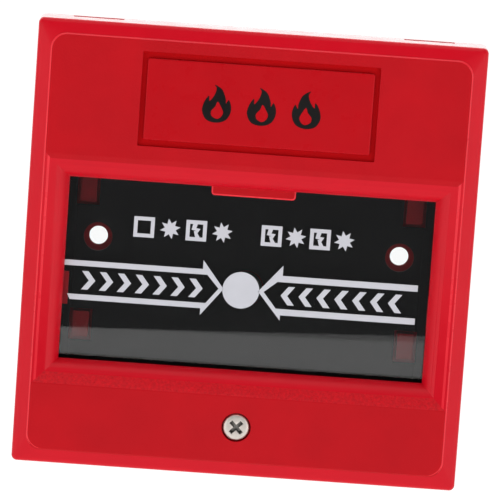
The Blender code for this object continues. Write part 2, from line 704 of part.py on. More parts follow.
def build():
    for old in list(bpy.data.objects):
        bpy.data.objects.remove(old, do_unlink=True)

    red = material("red_cover", (0.52, 0.011, 0.020), 0.42)
    red_base = material("red_base", (0.42, 0.010, 0.016), 0.5)
    red_gloss = material("red_legend", (0.52, 0.011, 0.020), 0.3)
    black = material("black_backing", (0.012, 0.012, 0.012), 0.5)
    case = material("switch_case", (0.02, 0.02, 0.022), 0.45)
    glass = material("clear_glass", (0.95, 0.96, 0.96), 0.03, alpha=0.35, transmission=1.0)
    white = material("white_acetal", (0.8, 0.8, 0.78), 0.4)
    dark = material("black_acetal", (0.03, 0.03, 0.032), 0.4)
    nickel = material("nickel", (0.72, 0.69, 0.64), 0.3, 1.0)
    steel = material("zinc_steel", (0.6, 0.6, 0.6), 0.35, 1.0)
    brass = material("brass", (0.78, 0.57, 0.25), 0.35, 1.0)
    green = material("board_green", (0.02, 0.16, 0.07), 0.4)
    block_green = material("terminal_green", (0.02, 0.25, 0.10), 0.45)
    tan = material("resistor_tan", (0.62, 0.45, 0.27), 0.5)

    cover_pieces = [
        front_cover(red), legend_plate(red_gloss), glass_pane(glass),
        cover_screw(nickel), screw_washer(steel),
    ]
    joint_axis("cover_hinge_axis", (0, HINGE_Y, HINGE_Z), cover_pieces)

    base_plate(red_base)
    backing_plate(black)
    screw_insert(brass)
    plunger_spring(steel)
    joint_axis("plunger_axis", (0, 0, AXIS_Z), [plunger(dark), plunger_ring(steel)])

    switch_body(case)
    switch_lever_pin(steel)
    joint_axis("lever_axis", (PIVOT_X, PIVOT_Y, AXIS_Z), [switch_lever(steel)])
    joint_axis("button_axis", (BUTTON_X, SWITCH_Y[0], AXIS_Z), [switch_button(white)])
    for index, x in enumerate(PIN_XS, start=1):
        switch_pin(index, x, steel)

    circuit_board(green)
    for index, place_at in enumerate(post_places(), start=1):
        board_screw(index, place_at, steel)
    terminal_block(block_green)
    for index, x in enumerate(pole_places(), start=1):
        terminal_clamp(index, x, brass)
        terminal_screw(index, x, steel)
    resistor(tan)


build()
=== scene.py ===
"""Looks of the manual call point: fine meshes, procedural finishes, soft light and the camera.

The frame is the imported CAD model: X runs right, Y into the wall and Z up. Sizes below are in
millimetres, and a mesh becomes metres when it is written. Where the CAD model already says a
size or a place, it is read from the frame.
"""
import math

import bmesh
import bpy
from mathutils import Matrix, Vector
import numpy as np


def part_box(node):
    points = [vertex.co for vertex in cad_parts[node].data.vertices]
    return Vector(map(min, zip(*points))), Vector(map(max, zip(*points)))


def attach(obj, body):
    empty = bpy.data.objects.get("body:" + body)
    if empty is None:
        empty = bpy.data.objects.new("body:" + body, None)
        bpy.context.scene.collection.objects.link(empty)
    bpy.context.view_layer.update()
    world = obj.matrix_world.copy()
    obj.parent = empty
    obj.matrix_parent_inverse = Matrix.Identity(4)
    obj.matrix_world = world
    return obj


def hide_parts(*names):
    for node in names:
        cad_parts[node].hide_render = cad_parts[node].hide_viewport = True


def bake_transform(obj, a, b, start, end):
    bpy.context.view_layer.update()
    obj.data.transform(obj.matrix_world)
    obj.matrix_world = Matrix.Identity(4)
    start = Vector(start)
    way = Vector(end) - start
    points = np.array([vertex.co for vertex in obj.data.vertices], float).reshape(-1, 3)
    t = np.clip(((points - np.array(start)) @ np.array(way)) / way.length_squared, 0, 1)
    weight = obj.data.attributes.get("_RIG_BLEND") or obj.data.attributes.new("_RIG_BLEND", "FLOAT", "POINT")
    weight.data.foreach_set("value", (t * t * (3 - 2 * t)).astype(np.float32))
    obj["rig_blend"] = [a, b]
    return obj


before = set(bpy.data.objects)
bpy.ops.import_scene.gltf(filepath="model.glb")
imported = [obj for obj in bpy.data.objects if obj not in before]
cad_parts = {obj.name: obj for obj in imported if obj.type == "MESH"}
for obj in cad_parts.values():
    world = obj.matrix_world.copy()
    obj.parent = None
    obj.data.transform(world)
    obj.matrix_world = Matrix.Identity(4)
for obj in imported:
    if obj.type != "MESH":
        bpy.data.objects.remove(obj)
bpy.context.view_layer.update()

MM = 0.001
AXES = {"X": 0, "Y": 1, "Z": 2}
SMOOTH_ANGLE = math.radians(32)
BEVEL_ANGLE = math.radians(40)
BEVEL_SEGMENTS = 2
CLEAR = 1.0  # a cutting solid runs this far past what it cuts
SINK = 0.2  # an added solid sinks this far into what it joins


def span(node, axis):
    """Lowest and highest value of a CAD node along an axis, in millimetres."""
    low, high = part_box(node)
    return low[AXES[axis]] / MM, high[AXES[axis]] / MM


def middle(node, axis):
    """Middle of a CAD node along an axis, in millimetres."""
    return sum(span(node, axis)) / 2


# Sizes read from the frame
HALF = span("front_cover", "X")[1]
FIELD_Y, COVER_REAR_Y = span("front_cover", "Y")
SCREW_Z = middle("cover_screw", "Z")
SCREW_FRONT_Y = span("cover_screw", "Y")[0]
LEGEND_X, LEGEND_Z = span("legend_plate", "X")[1], middle("legend_plate", "Z")
LEGEND_HALF_Z = span("legend_plate", "Z")[1] - LEGEND_Z
GLASS_X, GLASS_Y, GLASS_Z = (span("glass_pane", axis) for axis in "XYZ")
BACKING_X, BACKING_Y, BACKING_Z = (span("backing_plate", axis) for axis in "XYZ")
AXIS_Z = middle("plunger", "Z")
BOARD_Y = span("circuit_board", "Y")
POLE_XS = [middle(f"terminal_screw_{index}", "X") for index in (1, 2, 3, 4)]
CLAMP_Z = middle("terminal_screw_1", "Z")
PIN_XS = [middle(f"switch_pin_{index}", "X") for index in (1, 2, 3)]
POSTS = [(middle(f"board_screw_{i}", "X"), middle(f"board_screw_{i}", "Z")) for i in (1, 2, 3, 4)]
RESISTOR_Z = middle("resistor", "Z")

# Front cover: its plate, rim and inside
EDGE_RADIUS = 1.1
DRAFT = 0.15
WALL = 2.0
FACE = 2.4
RIM_Y = FIELD_Y + 0.25
RIM_FALL = 0.35
RIM_WIDTH = 2.95
EDGE_Y = RIM_Y + RIM_FALL + EDGE_RADIUS
# Insets and lifts of the small rounded step from the rim up to the field
STEP = ((0.0, 0.0), (0.05, 0.02), (0.12, 0.07), (0.2, 0.16), (0.26, 0.21), (0.34, 0.24), (0.42, 0.25))
FIELD_CORNER = 3.0
INNER = HALF - WALL
HOLLOW_X = 40.4
HOLLOW_ZS = ((18.6, INNER - 1.4), (1.4 - INNER, -29.8))

# Window, with the dished surround that falls to it, and what holds the glass behind it
WINDOW_X = 36.15
WINDOW_TOP = 13.0
WINDOW_BOTTOM = -23.3
DISH_SIDE = 5.0
DISH_TOP = 4.8
DISH_BOTTOM = 4.9
DISH_STEPS = 28
LIP_FRONT_Y = FIELD_Y + 3.4
LIP_REAR_Y = -9.1
TONGUE_X = 0.2
TONGUE_WIDTH = 16.7
TONGUE_DROP = 1.75
TONGUE_CORNER = 0.7
GLASS_PLAY = 0.3
CLIP_Z = (-12.7, -6.2)
CLIP_REACHES = ((-1, 35.2), (1, 36.2))
CLIP_ARM = 1.4
CLIP_LIP = 0.7
LEDGE_X = (36.6, 38.4)
LEDGE = 1.0
TOP_LEDGE_X = 10.0

# Legend pocket, screw and hinge
POCKET = (23.3, 9.3)
POCKET_FLOOR_Y = -12.1
PEG_X = 17.0
PEG_HOLE = 1.45
HEAD_RADIUS = 2.6
HEAD_REAR_Y = -11.7
HEAD_PLAY = 0.3
SEAT_Y = -11.3
SCREW_HOLE = 1.8
SCREW_BOSS = 4.0
HINGE_Y = -3.5
HINGE_Z = 43.25
HOOK_X = 32.7
HOOK_SLOT = 10.0
HOOK_SLOT_REACH = 2.25
HOOK_WIDTH = 9.0
BAR_RADIUS = 0.8

# Base plate
BASE_FRONT_Y = -2.2
BASE_RIM_Y = -6.2
BASE_RIM = 1.6
BASE_GAPS = (0.5, 1.05)
BOSS_FRONT_Y = -4.4
INSERT_BOSS = 4.2
INSERT_BOSS_Y = -8.2
INSERT_BORE = 3.0
INSERT_BORE_Y = -3.9
MOUNTS = ((-30.0, 1.0), (30.0, 1.0))
MOUNT_BOSS = 4.6
MOUNT_HOLE = 1.85
MOUNT_SINK = (2.9, -3.3)
MOUNT_RECESS = 3.6
MOUNT_RECESS_Y = -2.4
LATCHES = [(x, z) for x in (-32.4, 32.4) for z in (10.4, -16.8)]
LATCH_SIZE = (3.3, 5.2)
LATCH_FRONT_Y = -5.0
POST_HOLE = 1.45
POST_HOLE_Y = 9.5
EJECTOR_MARKS = [(x, z) for x in (-37.0, -12.5, 12.5, 37.0) for z in (-38.0, 26.0, 38.0)]
EJECTOR_RADIUS = 1.9
EJECTOR_DEPTH = 0.12

# Backing plate
BACKING_BORDER_X = 34.4
BACKING_BORDER = 0.3
BACKING_FRONT_Y = BACKING_Y[0] + BACKING_BORDER
BACKING_HOLE = 2.85
BACKING_CENTRE_HOLE = 3.6
LATCH_GAP = 0.6

# Plunger, spring, board and what stands on it
STEM_RADIUS = 1.5
STEM_PLAY = 0.25
CHAMBER_RADIUS = 3.6
CHAMBER_WALL = 1.6
CHAMBER_FLOOR_Y = -1.4
COIL_RADIUS = 2.4
COIL_WIRE = 0.22
COIL_TURNS = 3
COIL_STEPS = 40
TRACE_HALF = 0.45
TRACE_THICK = 0.035
LEAD_RADIUS = 0.28
LEAD_END_Y = span("resistor", "Y")[0]
RESISTOR_RADIUS = 1.15
RESISTOR_Y = span("resistor", "Y")[1] - RESISTOR_RADIUS
LEAD_X = span("resistor", "X")[1] - LEAD_RADIUS

# Print on the glass and on the legend plate
PRINT_DEPTH = 0.045
PRINT_GAP = 0.004
DISC = (-0.99, -7.36, 3.65)
BARB_REACH = 5.5
BARB_CUT = 0.95
WORD_Z = 3.87
WORD_HEIGHT = 4.1
FLAME_X = 0.53
FLAME_HEIGHT = 7.4
FLAME_PITCH = 8.8

# Camera: a long lens, a little above the object and rolled
LENS = 253.5
SENSOR = 36.0
ELEVATION = 7.256
AZIMUTH = -0.25
ROLL = 4.105
DISTANCE = 0.6943
AIM = (-0.000049, -0.0065, 0.000778)

# Studio, in metres
FLOOR_Z = -0.30
FLOOR_SIZE = 40.0
FRONT_GLOW = 0.12
BACK_GLOW = 2.3
SIDE_LIGHT = (0.8, -0.85, 0.0)
SIDE_POWER = (3.2, 3.8)
SIDE_SIZE = (0.9, 0.9)
TOP_LIGHT = (-0.1, -0.5, 1.0)
TOP_POWER = 3.2
TOP_SIZE = (1.0, 0.8)
CARD_SIZE = (1.1, 1.6)
CARD_AWAY = 1.4
CARD_LOW = -0.2263
CARD_TILT = -2.7
CARD_GLOW = (0.11, 0.11, 0.112)


class Solid:
    """Closed shells gathered in one mesh, in millimetres."""

    def __init__(self):
        self.mesh = bmesh.new()

    def loft(self, loops, closed=False):
        """Skin a stack of equal loops, and cap it or join its last loop to its first."""
        rings = [[self.mesh.verts.new(point) for point in loop] for loop in loops]
        count = len(rings[0])
        pairs = list(zip(rings, rings[1:]))
        if closed:
            pairs.append((rings[-1], rings[0]))
        faces = []
        for low, high in pairs:
            for i in range(count):
                j = (i + 1) % count
                faces.append(self.mesh.faces.new((low[i], low[j], high[j], high[i])))
        if not closed:
            faces.append(self.mesh.faces.new(rings[0][::-1]))
            faces.append(self.mesh.faces.new(rings[-1]))
        bmesh.ops.recalc_face_normals(self.mesh, faces=faces)
        return self

    def box(self, x, y, z):
        """Block between the two values of each axis."""
        loops = [[(x[0], y[0], c), (x[1], y[0], c), (x[1], y[1], c), (x[0], y[1], c)] for c in z]
        return self.loft(loops)

    def turned(self, centre, profile, axis="Y", segments=64, closed=False):
        """Stack of circles, one for each (radius, position): a ring where the profile closes."""
        loops = [circle(centre, radius, at, axis, segments) for radius, at in profile]
        return self.loft(loops, closed)

    def rod(self, centre, radius, along, axis="Y", segments=64):
        """Cylinder between two places along its axis."""
        return self.turned(centre, [(radius, at) for at in along], axis, segments)

    def prism(self, outline, along, axis):
        """Outline in the plane across an axis, pulled between two places along it."""
        return self.loft([[place(u, v, at, axis) for u, v in outline] for at in along])

    def tube(self, path, radius, sides=12):
        """Round wire along a list of points."""
        points = [Vector(point) for point in path]
        loops = []
        across = None
        for i, point in enumerate(points):
            ahead = (points[min(i + 1, len(points) - 1)] - points[max(i - 1, 0)]).normalized()
            if across is None:
                across = ahead.orthogonal().normalized()
            across = (across - ahead * across.dot(ahead)).normalized()
            other = ahead.cross(across)
            loop = []
            for side in range(sides):
                turn = 2 * math.pi * side / sides
                loop.append(point + radius * (math.cos(turn) * across + math.sin(turn) * other))
            loops.append(loop)
        return self.loft(loops)


def place(u, v, at, axis):
    """Point at (u, v) in the plane across an axis: (y, z), (x, z) or (x, y)."""
    return {"X": (at, u, v), "Y": (u, at, v), "Z": (u, v, at)}[axis]


def circle(centre, radius, at, axis, segments):
    """Circle across an axis, centred on the point (u, v)."""
    angles = [2 * math.pi * i / segments for i in range(segments)]
    u, v = centre
    return [place(u + radius * math.cos(a), v + radius * math.sin(a), at, axis) for a in angles]


def arc(centre, radius, start, end, steps):
    """Points along a circle from one angle to another, in degrees."""
    angles = [math.radians(start + (end - start) * step / steps) for step in range(steps + 1)]
    return [(centre[0] + radius * math.cos(a), centre[1] + radius * math.sin(a)) for a in angles]


def rounded(x, z, radius, y, segments=8):
    """Rectangle between the two values of x and z with rounded corners, at one depth."""
    corners = (
        (x[1] - radius, z[1] - radius, 0),
        (x[0] + radius, z[1] - radius, 90),
        (x[0] + radius, z[0] + radius, 180),
        (x[1] - radius, z[0] + radius, 270),
    )
    points = []
    for cx, cz, start in corners:
        points += [(u, y, v) for u, v in arc((cx, cz), radius, start, start + 90, segments)]
    return points


def square(half, radius, y, segments=8):
    """Rounded square about the plate's centre."""
    return rounded((-half, half), (-half, half), radius, y, segments)


def cross(size, width, turn):
    """Outline of a cross recess, turned by an angle in degrees."""
    reach, arm = size / 2, width / 2
    quarter = [(reach, -arm), (reach, arm), (arm, arm)]
    points = []
    for step in range(4):
        angle = math.radians(turn + 90 * step)
        cos, sin = math.cos(angle), math.sin(angle)
        points += [(u * cos - v * sin, u * sin + v * cos) for u, v in quarter]
    return points


def thread(start, end, pitch, crest, root, rise):
    """Turned profile of a screw's thread: its rises are places within one pitch."""
    profile = []
    while start < end:
        profile += [(crest, start), (root, start + rise[0]), (root, start + rise[1]),
                    (crest, start + rise[2])]
        start += pitch
    return profile


def smooth_outline(points, steps=6):
    """Closed smooth curve through the points, as a Catmull-Rom spline."""
    count = len(points)
    result = []
    for i in range(count):
        a, b, c, d = (Vector(points[(i + k - 1) % count]) for k in range(4))
        for step in range(steps):
            t = step / steps
            at = 0.5 * ((2 * b) + (c - a) * t + (2 * a - 5 * b + 4 * c - d) * t * t
                        + (3 * b - a - 3 * c + d) * t ** 3)
            result.append((at.x, at.y))
    return result


# ---- finishes

def noise(tree, coordinates, size, detail=3.0, roughness=0.5):
    """Noise whose features are about this many millimetres wide."""
    node = tree.nodes.new("ShaderNodeTexNoise")
    node.inputs["Scale"].default_value = 1 / (size * MM)
    node.inputs["Detail"].default_value = detail
    node.inputs["Roughness"].default_value = roughness
    tree.links.new(coordinates, node.inputs["Vector"])
    return node.outputs["Fac"]


def spread(tree, value, low, high, start=0.3, end=0.7):
    """Map a value onto the span from low to high."""
    node = tree.nodes.new("ShaderNodeMapRange")
    for name, number in (("From Min", start), ("From Max", end), ("To Min", low), ("To Max", high)):
        node.inputs[name].default_value = number
    tree.links.new(value, node.inputs["Value"])
    return node.outputs["Result"]


def blend_colors(tree, factor, first, second):
    """Mix two plain colours by a factor."""
    node = tree.nodes.new("ShaderNodeMix")
    node.data_type = "RGBA"
    node.inputs["A"].default_value = (*first, 1.0)
    node.inputs["B"].default_value = (*second, 1.0)
    tree.links.new(factor, node.inputs["Factor"])
    return node.outputs["Result"]


def bump(tree, height, depth, under=None):
    """Bump of a depth in millimetres, on top of another one."""
    node = tree.nodes.new("ShaderNodeBump")
    node.inputs["Distance"].default_value = depth * MM
    tree.links.new(height, node.inputs["Height"])
    if under:
        tree.links.new(under, node.inputs["Normal"])
    return node.outputs["Normal"]


def finish(name, color, roughness, mottle=0.05, mottle_size=9.0, uneven=0.04, grain=0.0,
           grain_size=0.4, wave=0.0, stretch=(1, 1, 1), specular=0.5, **sockets):
    """Principled finish with mottled colour, uneven roughness, fine grain and faint waviness."""
    made = bpy.data.materials.new(name)
    made.use_nodes = True
    tree = made.node_tree
    shader = tree.nodes["Principled BSDF"]
    shader.inputs["Specular IOR Level"].default_value = specular
    for socket, value in sockets.items():
        shader.inputs[socket.replace("_", " ")].default_value = value
    where = tree.nodes.new("ShaderNodeTexCoord")
    mapping = tree.nodes.new("ShaderNodeMapping")
    mapping.inputs["Scale"].default_value = stretch
    tree.links.new(where.outputs["Object"], mapping.inputs["Vector"])
    at = mapping.outputs["Vector"]
    dark = [max(0.0, value * (1 - mottle)) for value in color]
    light = [min(1.0, value * (1 + mottle)) for value in color]
    factor = spread(tree, noise(tree, at, mottle_size), 0.0, 1.0)
    tree.links.new(blend_colors(tree, factor, dark, light), shader.inputs["Base Color"])
    rough = spread(tree, noise(tree, at, mottle_size / 3), roughness - uneven, roughness + uneven)
    tree.links.new(rough, shader.inputs["Roughness"])
    normal = None
    if wave:
        normal = bump(tree, noise(tree, at, 14.0, detail=1.0), wave)
    if grain:
        normal = bump(tree, noise(tree, at, grain_size, detail=2.0), grain, normal)
    if normal:
        tree.links.new(normal, shader.inputs["Normal"])
    made.diffuse_color = (*color, 1.0)
    return made


RED = (0.51, 0.003, 0.0085)
# Same red plastic with a smoother finish: its lower roughness is real, its brighter base colour is painted
# sheen
RED_SATIN_SHEEN = (0.62, 0.003, 0.014)

FINISHES = {
    "field": finish("red_grained", RED, 0.4, grain=0.032, grain_size=0.42, specular=0.13),
    "satin": finish("red_satin_painted_sheen", RED_SATIN_SHEEN, 0.34, mottle=0.03, wave=0.004, grain=0.001, specular=0.17),
    "outer": finish("red_outer", (0.5, 0.003, 0.009), 0.28, mottle=0.03, wave=0.004, grain=0.001),
    # Red for the gap round the legend plate, with less green, blue and specular than the field: painted
    # shade in the groove
    "groove_shade": finish("red_groove_painted_shade", (0.52, 0.0015, 0.004), 0.5, specular=0.05),
    "sill": finish("red_coarse_grained", (0.56, 0.003, 0.010), 0.3, mottle=0.15, mottle_size=0.5,
                   grain=0.06, grain_size=0.3, specular=0.4),
    # Much paler red for the small bevels at the rim step, the pocket's edge, the window's lip and the
    # tongue: a painted highlight
    "edge": finish("red_painted_edge_highlight", (0.8, 0.02, 0.035), 0.3, specular=0.3),
    "legend": finish("red_legend_face", (0.5, 0.002, 0.007), 0.3, mottle=0.03, wave=0.006,
                     specular=0.13),
    "base": finish("red_base_shell", (0.44, 0.008, 0.013), 0.42, mottle=0.06, grain=0.006,
                   grain_size=0.6, wave=0.01, specular=0.13),
    # Base red at half brightness for the bosses, latches and chamber in front of the base plate: painted
    # shade behind the glass
    "inner": finish("red_base_painted_shade", (0.22, 0.005, 0.009), 0.5, mottle=0.06, grain=0.006,
                    grain_size=0.6, specular=0.1),
    "ink": finish("black_ink", (0.008, 0.007, 0.007), 0.4, mottle=0.3, grain=0.002, specular=0.15),
    "print": finish("white_print", (0.60, 0.605, 0.655), 0.5, mottle=0.02, mottle_size=3.0,
                    grain=0.003, grain_size=0.3),
    "backing": finish("black_card", (0.005, 0.005, 0.0052), 0.6, mottle=0.2, mottle_size=6.0,
                      grain=0.004, grain_size=0.25, specular=0.1),
    "case": finish("switch_case_plastic", (0.022, 0.022, 0.024), 0.4, mottle=0.2, grain=0.006),
    "glass": finish("window_glass", (0.94, 0.95, 0.948), 0.012, mottle=0.01, uneven=0.004,
                    Transmission_Weight=1.0, IOR=1.5),
    "acetal": finish("white_acetal_plastic", (0.82, 0.82, 0.79), 0.35, mottle=0.02, grain=0.002),
    "dark_acetal": finish("black_acetal_plastic", (0.02, 0.02, 0.021), 0.35, mottle=0.1, grain=0.002),
    "nickel": finish("nickel_plate", (0.66, 0.60, 0.55), 0.42, mottle=0.06, mottle_size=1.5,
                     grain=0.006, grain_size=0.5, Metallic=0.7),
    # Darker nickel for the inside of the cross recess: painted shade
    "recess": finish("nickel_painted_recess_shade", (0.22, 0.205, 0.19), 0.4, mottle=0.3, mottle_size=0.6,
                     Metallic=0.8),
    "steel": finish("zinc_plate", (0.36, 0.365, 0.37), 0.32, mottle=0.08, mottle_size=1.2,
                    grain=0.004, grain_size=0.2, Metallic=1.0),
    "brushed": finish("brushed_steel", (0.40, 0.40, 0.40), 0.34, mottle=0.06, mottle_size=0.8,
                      grain=0.003, grain_size=0.15, stretch=(0.1, 1, 1), Metallic=1.0),
    "brass": finish("machined_brass", (0.56, 0.39, 0.16), 0.3, mottle=0.08, mottle_size=1.0,
                    grain=0.003, grain_size=0.2, Metallic=1.0),
    "board": finish("board_mask", (0.015, 0.14, 0.06), 0.32, mottle=0.12, mottle_size=4.0,
                    grain=0.004, grain_size=0.3),
    "trace": finish("board_trace", (0.03, 0.24, 0.10), 0.3, mottle=0.08, mottle_size=2.0,
                    grain=0.002, grain_size=0.3),
    "solder": finish("solder", (0.42, 0.42, 0.43), 0.26, mottle=0.08, mottle_size=0.6, grain=0.008,
                     Metallic=1.0),
    "terminal": finish("terminal_plastic", (0.02, 0.24, 0.09), 0.38, grain=0.004),
    "ceramic": finish("resistor_body", (0.62, 0.45, 0.27), 0.4, grain=0.003),
    "band_a": finish("resistor_band_brown", (0.18, 0.06, 0.02), 0.4, mottle=0.1),
    "band_b": finish("resistor_band_black", (0.02, 0.02, 0.02), 0.4, mottle=0.1),
    "floor": finish("studio_floor", (0.42, 0.42, 0.42), 0.9, mottle=0.005, mottle_size=400.0,
                    specular=0.0, Emission_Color=(1.0, 1.0, 1.0, 1.0), Emission_Strength=0.65),
}


# ---- pieces

def linked(name, data):
    """New object in the scene."""
    made = bpy.data.objects.new(name, data)
    bpy.context.scene.collection.objects.link(made)
    return made


def make(name, solid, surfaces=()):
    """Object from a solid, scaled to metres."""
    solid.mesh.transform(Matrix.Scale(MM, 4))
    mesh = bpy.data.meshes.new(name)
    solid.mesh.to_mesh(mesh)
    solid.mesh.free()
    for surface in surfaces:
        mesh.materials.append(FINISHES[surface])
    return linked(name, mesh)


def boolean(target, operation, solid):
    """Add a solid to the target, or cut it away."""
    modifier = target.modifiers.new(operation.title(), "BOOLEAN")
    modifier.operation = operation
    modifier.solver = "EXACT"
    modifier.object = make(f"{target.name}_{operation.lower()}", solid)


def add(target, solid):
    boolean(target, "UNION", solid)


def cut(target, solid):
    boolean(target, "DIFFERENCE", solid)


def baked(target):
    """Apply the target's modifiers to its mesh and remove what they were made with."""
    operands = [m.object for m in target.modifiers if m.type == "BOOLEAN"]
    graph = bpy.context.evaluated_depsgraph_get()
    mesh = bpy.data.meshes.new_from_object(target.evaluated_get(graph), depsgraph=graph)
    target.modifiers.clear()
    target.data = mesh
    for operand in operands:
        bpy.data.objects.remove(operand, do_unlink=True)
    return target


def softened(target, width):
    """Round the target's sharp edges a little and shade it smooth between them."""
    baked(target)
    if width:
        bevel = target.modifiers.new("Bevel", "BEVEL")
        bevel.width = width * MM
        bevel.segments = BEVEL_SEGMENTS
        bevel.limit_method = "ANGLE"
        bevel.angle_limit = BEVEL_ANGLE
        bevel.miter_outer = "MITER_ARC"
        bevel.use_clamp_overlap = True
        baked(target)
    target.data.shade_smooth()
    target.data.set_sharp_from_angle(angle=SMOOTH_ANGLE)
    weighted = target.modifiers.new("WeightedNormal", "WEIGHTED_NORMAL")
    weighted.keep_sharp = True
    weighted.weight = 100
    return baked(target)


def riding(target, body, node=None):
    """Let the target move with a body and stand for a CAD node, whose own mesh is hidden."""
    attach(target, body)
    if node:
        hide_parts(node)
    return target


def plain(name, solid, surface, body, node=None):
    """Piece made straight from a solid and shaded smooth."""
    return riding(softened(make(name, solid, (surface,)), 0.0), body, node)


def plate_loops(x, z, radius, levels, segments):
    """Rounded rectangles for a plate: each (inset, y) of the levels is one of them."""
    return [rounded((x[0] + inset, x[1] - inset), (z[0] + inset, z[1] - inset), radius, y, segments)
            for inset, y in levels]


def refined(node, body, surface, width=0.08):
    """Copy of a CAD node's shape with joined faces and softened edges."""
    shape = bmesh.new()
    shape.from_mesh(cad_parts[node].data)
    bmesh.ops.remove_doubles(shape, verts=shape.verts, dist=1e-6)
    bmesh.ops.dissolve_limit(shape, angle_limit=math.radians(0.5), verts=shape.verts,
                             edges=shape.edges)
    mesh = bpy.data.meshes.new(f"{node}_fine")
    shape.to_mesh(mesh)
    shape.free()
    for attribute in [a for a in mesh.attributes if a.name in ("custom_normal", "sharp_edge")]:
        mesh.attributes.remove(attribute)
    mesh.materials.append(FINISHES[surface])
    return riding(softened(linked(mesh.name, mesh), width), body, node)


# The lighter satin red paints sheen, the groove red paints shade in the legend pocket and the pale edge red
# paints highlights on small bevels
COVER_FINISHES = ("field", "satin", "outer", "groove_shade", "edge", "sill")


def dish_depth(reach):
    """Depth of the window's surround at a share of its width from the window outwards."""
    return 1.95 * (1 - reach) ** 1.3 + 1.45 * (1 - reach) ** 9


def dish_loop(reach, y):
    """Window outline grown towards the dish's outer outline by a share of the dish's width."""
    side = WINDOW_X + DISH_SIDE * reach
    top = WINDOW_TOP + DISH_TOP * reach
    bottom = WINDOW_BOTTOM - DISH_BOTTOM * reach
    return [(side, y, top), (-side, y, top), (-side, y, bottom), (side, y, bottom)]


def cover_shell():
    """Solid front with drafted sides, a rounded edge and the step from its rim to its field."""
    edge = HALF - DRAFT
    loops = [
        square(HALF - 0.3, 0.9, COVER_REAR_Y),
        square(HALF - 0.06, 1.05, COVER_REAR_Y - 0.1),
        square(HALF, EDGE_RADIUS, COVER_REAR_Y - 0.3),
        square(edge, EDGE_RADIUS, EDGE_Y),
    ]
    for degrees in range(10, 81, 10):
        angle = math.radians(degrees)
        inset = EDGE_RADIUS * (1 - math.cos(angle))
        loops.append(square(edge - inset, EDGE_RADIUS, EDGE_Y - EDGE_RADIUS * math.sin(angle)))
    for inset, lift in STEP:
        loops.append(square(HALF - RIM_WIDTH - inset + 0.15, FIELD_CORNER, RIM_Y - lift))
    return make("front_cover_fine", Solid().loft(loops), COVER_FINISHES)


def cut_inside(cover):
    """Hollow the cover from behind and cut its dished window."""
    cut(cover, Solid().loft([square(INNER, 0.8, y) for y in (COVER_REAR_Y + CLEAR, LIP_REAR_Y)]))
    hollows = Solid()
    for z in HOLLOW_ZS:
        hollows.box((-HOLLOW_X, HOLLOW_X), (FIELD_Y + FACE, LIP_REAR_Y + CLEAR), z)
    cut(cover, hollows)
    dish = [dish_loop(0.0, LIP_REAR_Y + CLEAR)]
    for step in range(DISH_STEPS + 1):
        reach = (step / DISH_STEPS) ** 1.4
        dish.append(dish_loop(reach, FIELD_Y + dish_depth(reach)))
    dish.append(dish_loop(1.0, FIELD_Y - CLEAR))
    cut(cover, Solid().loft(dish))


def cut_recesses(cover):
    """Cut the legend pocket and the screw's recess, and the holes through their floors."""
    before = FIELD_Y - CLEAR
    recesses = Solid().loft([
        rounded((-POCKET[0], POCKET[0]), (LEGEND_Z - POCKET[1], LEGEND_Z + POCKET[1]), 0.3, y, 4)
        for y in (before, POCKET_FLOOR_Y)
    ])
    recesses.rod((0, SCREW_Z), HEAD_RADIUS + HEAD_PLAY, (before, SEAT_Y))
    cut(cover, recesses)
    holes = Solid().rod((0, SCREW_Z), SCREW_HOLE, (-12.0, -8.0))
    for x in (-PEG_X, PEG_X):
        holes.rod((x, LEGEND_Z), PEG_HOLE, (-12.5, -10.0))
    cut(cover, holes)


def add_hinge_bars(cover):
    """Cut the two slots for the base's hooks and put the hinge bars across them."""
    slots, bars = Solid(), Solid()
    reach = HOOK_SLOT / 2
    for side in (-1, 1):
        slots.box(
            (side * HOOK_X - reach, side * HOOK_X + reach),
            (HINGE_Y - HOOK_SLOT_REACH, COVER_REAR_Y + 0.5),
            (INNER - 0.4, HALF + 0.5),
        )
        ends = (side * HOOK_X - reach - SINK, side * HOOK_X + reach + SINK)
        bars.rod((HINGE_Y, HINGE_Z), BAR_RADIUS, ends, "X", 32)
    cut(cover, slots)
    add(cover, bars)


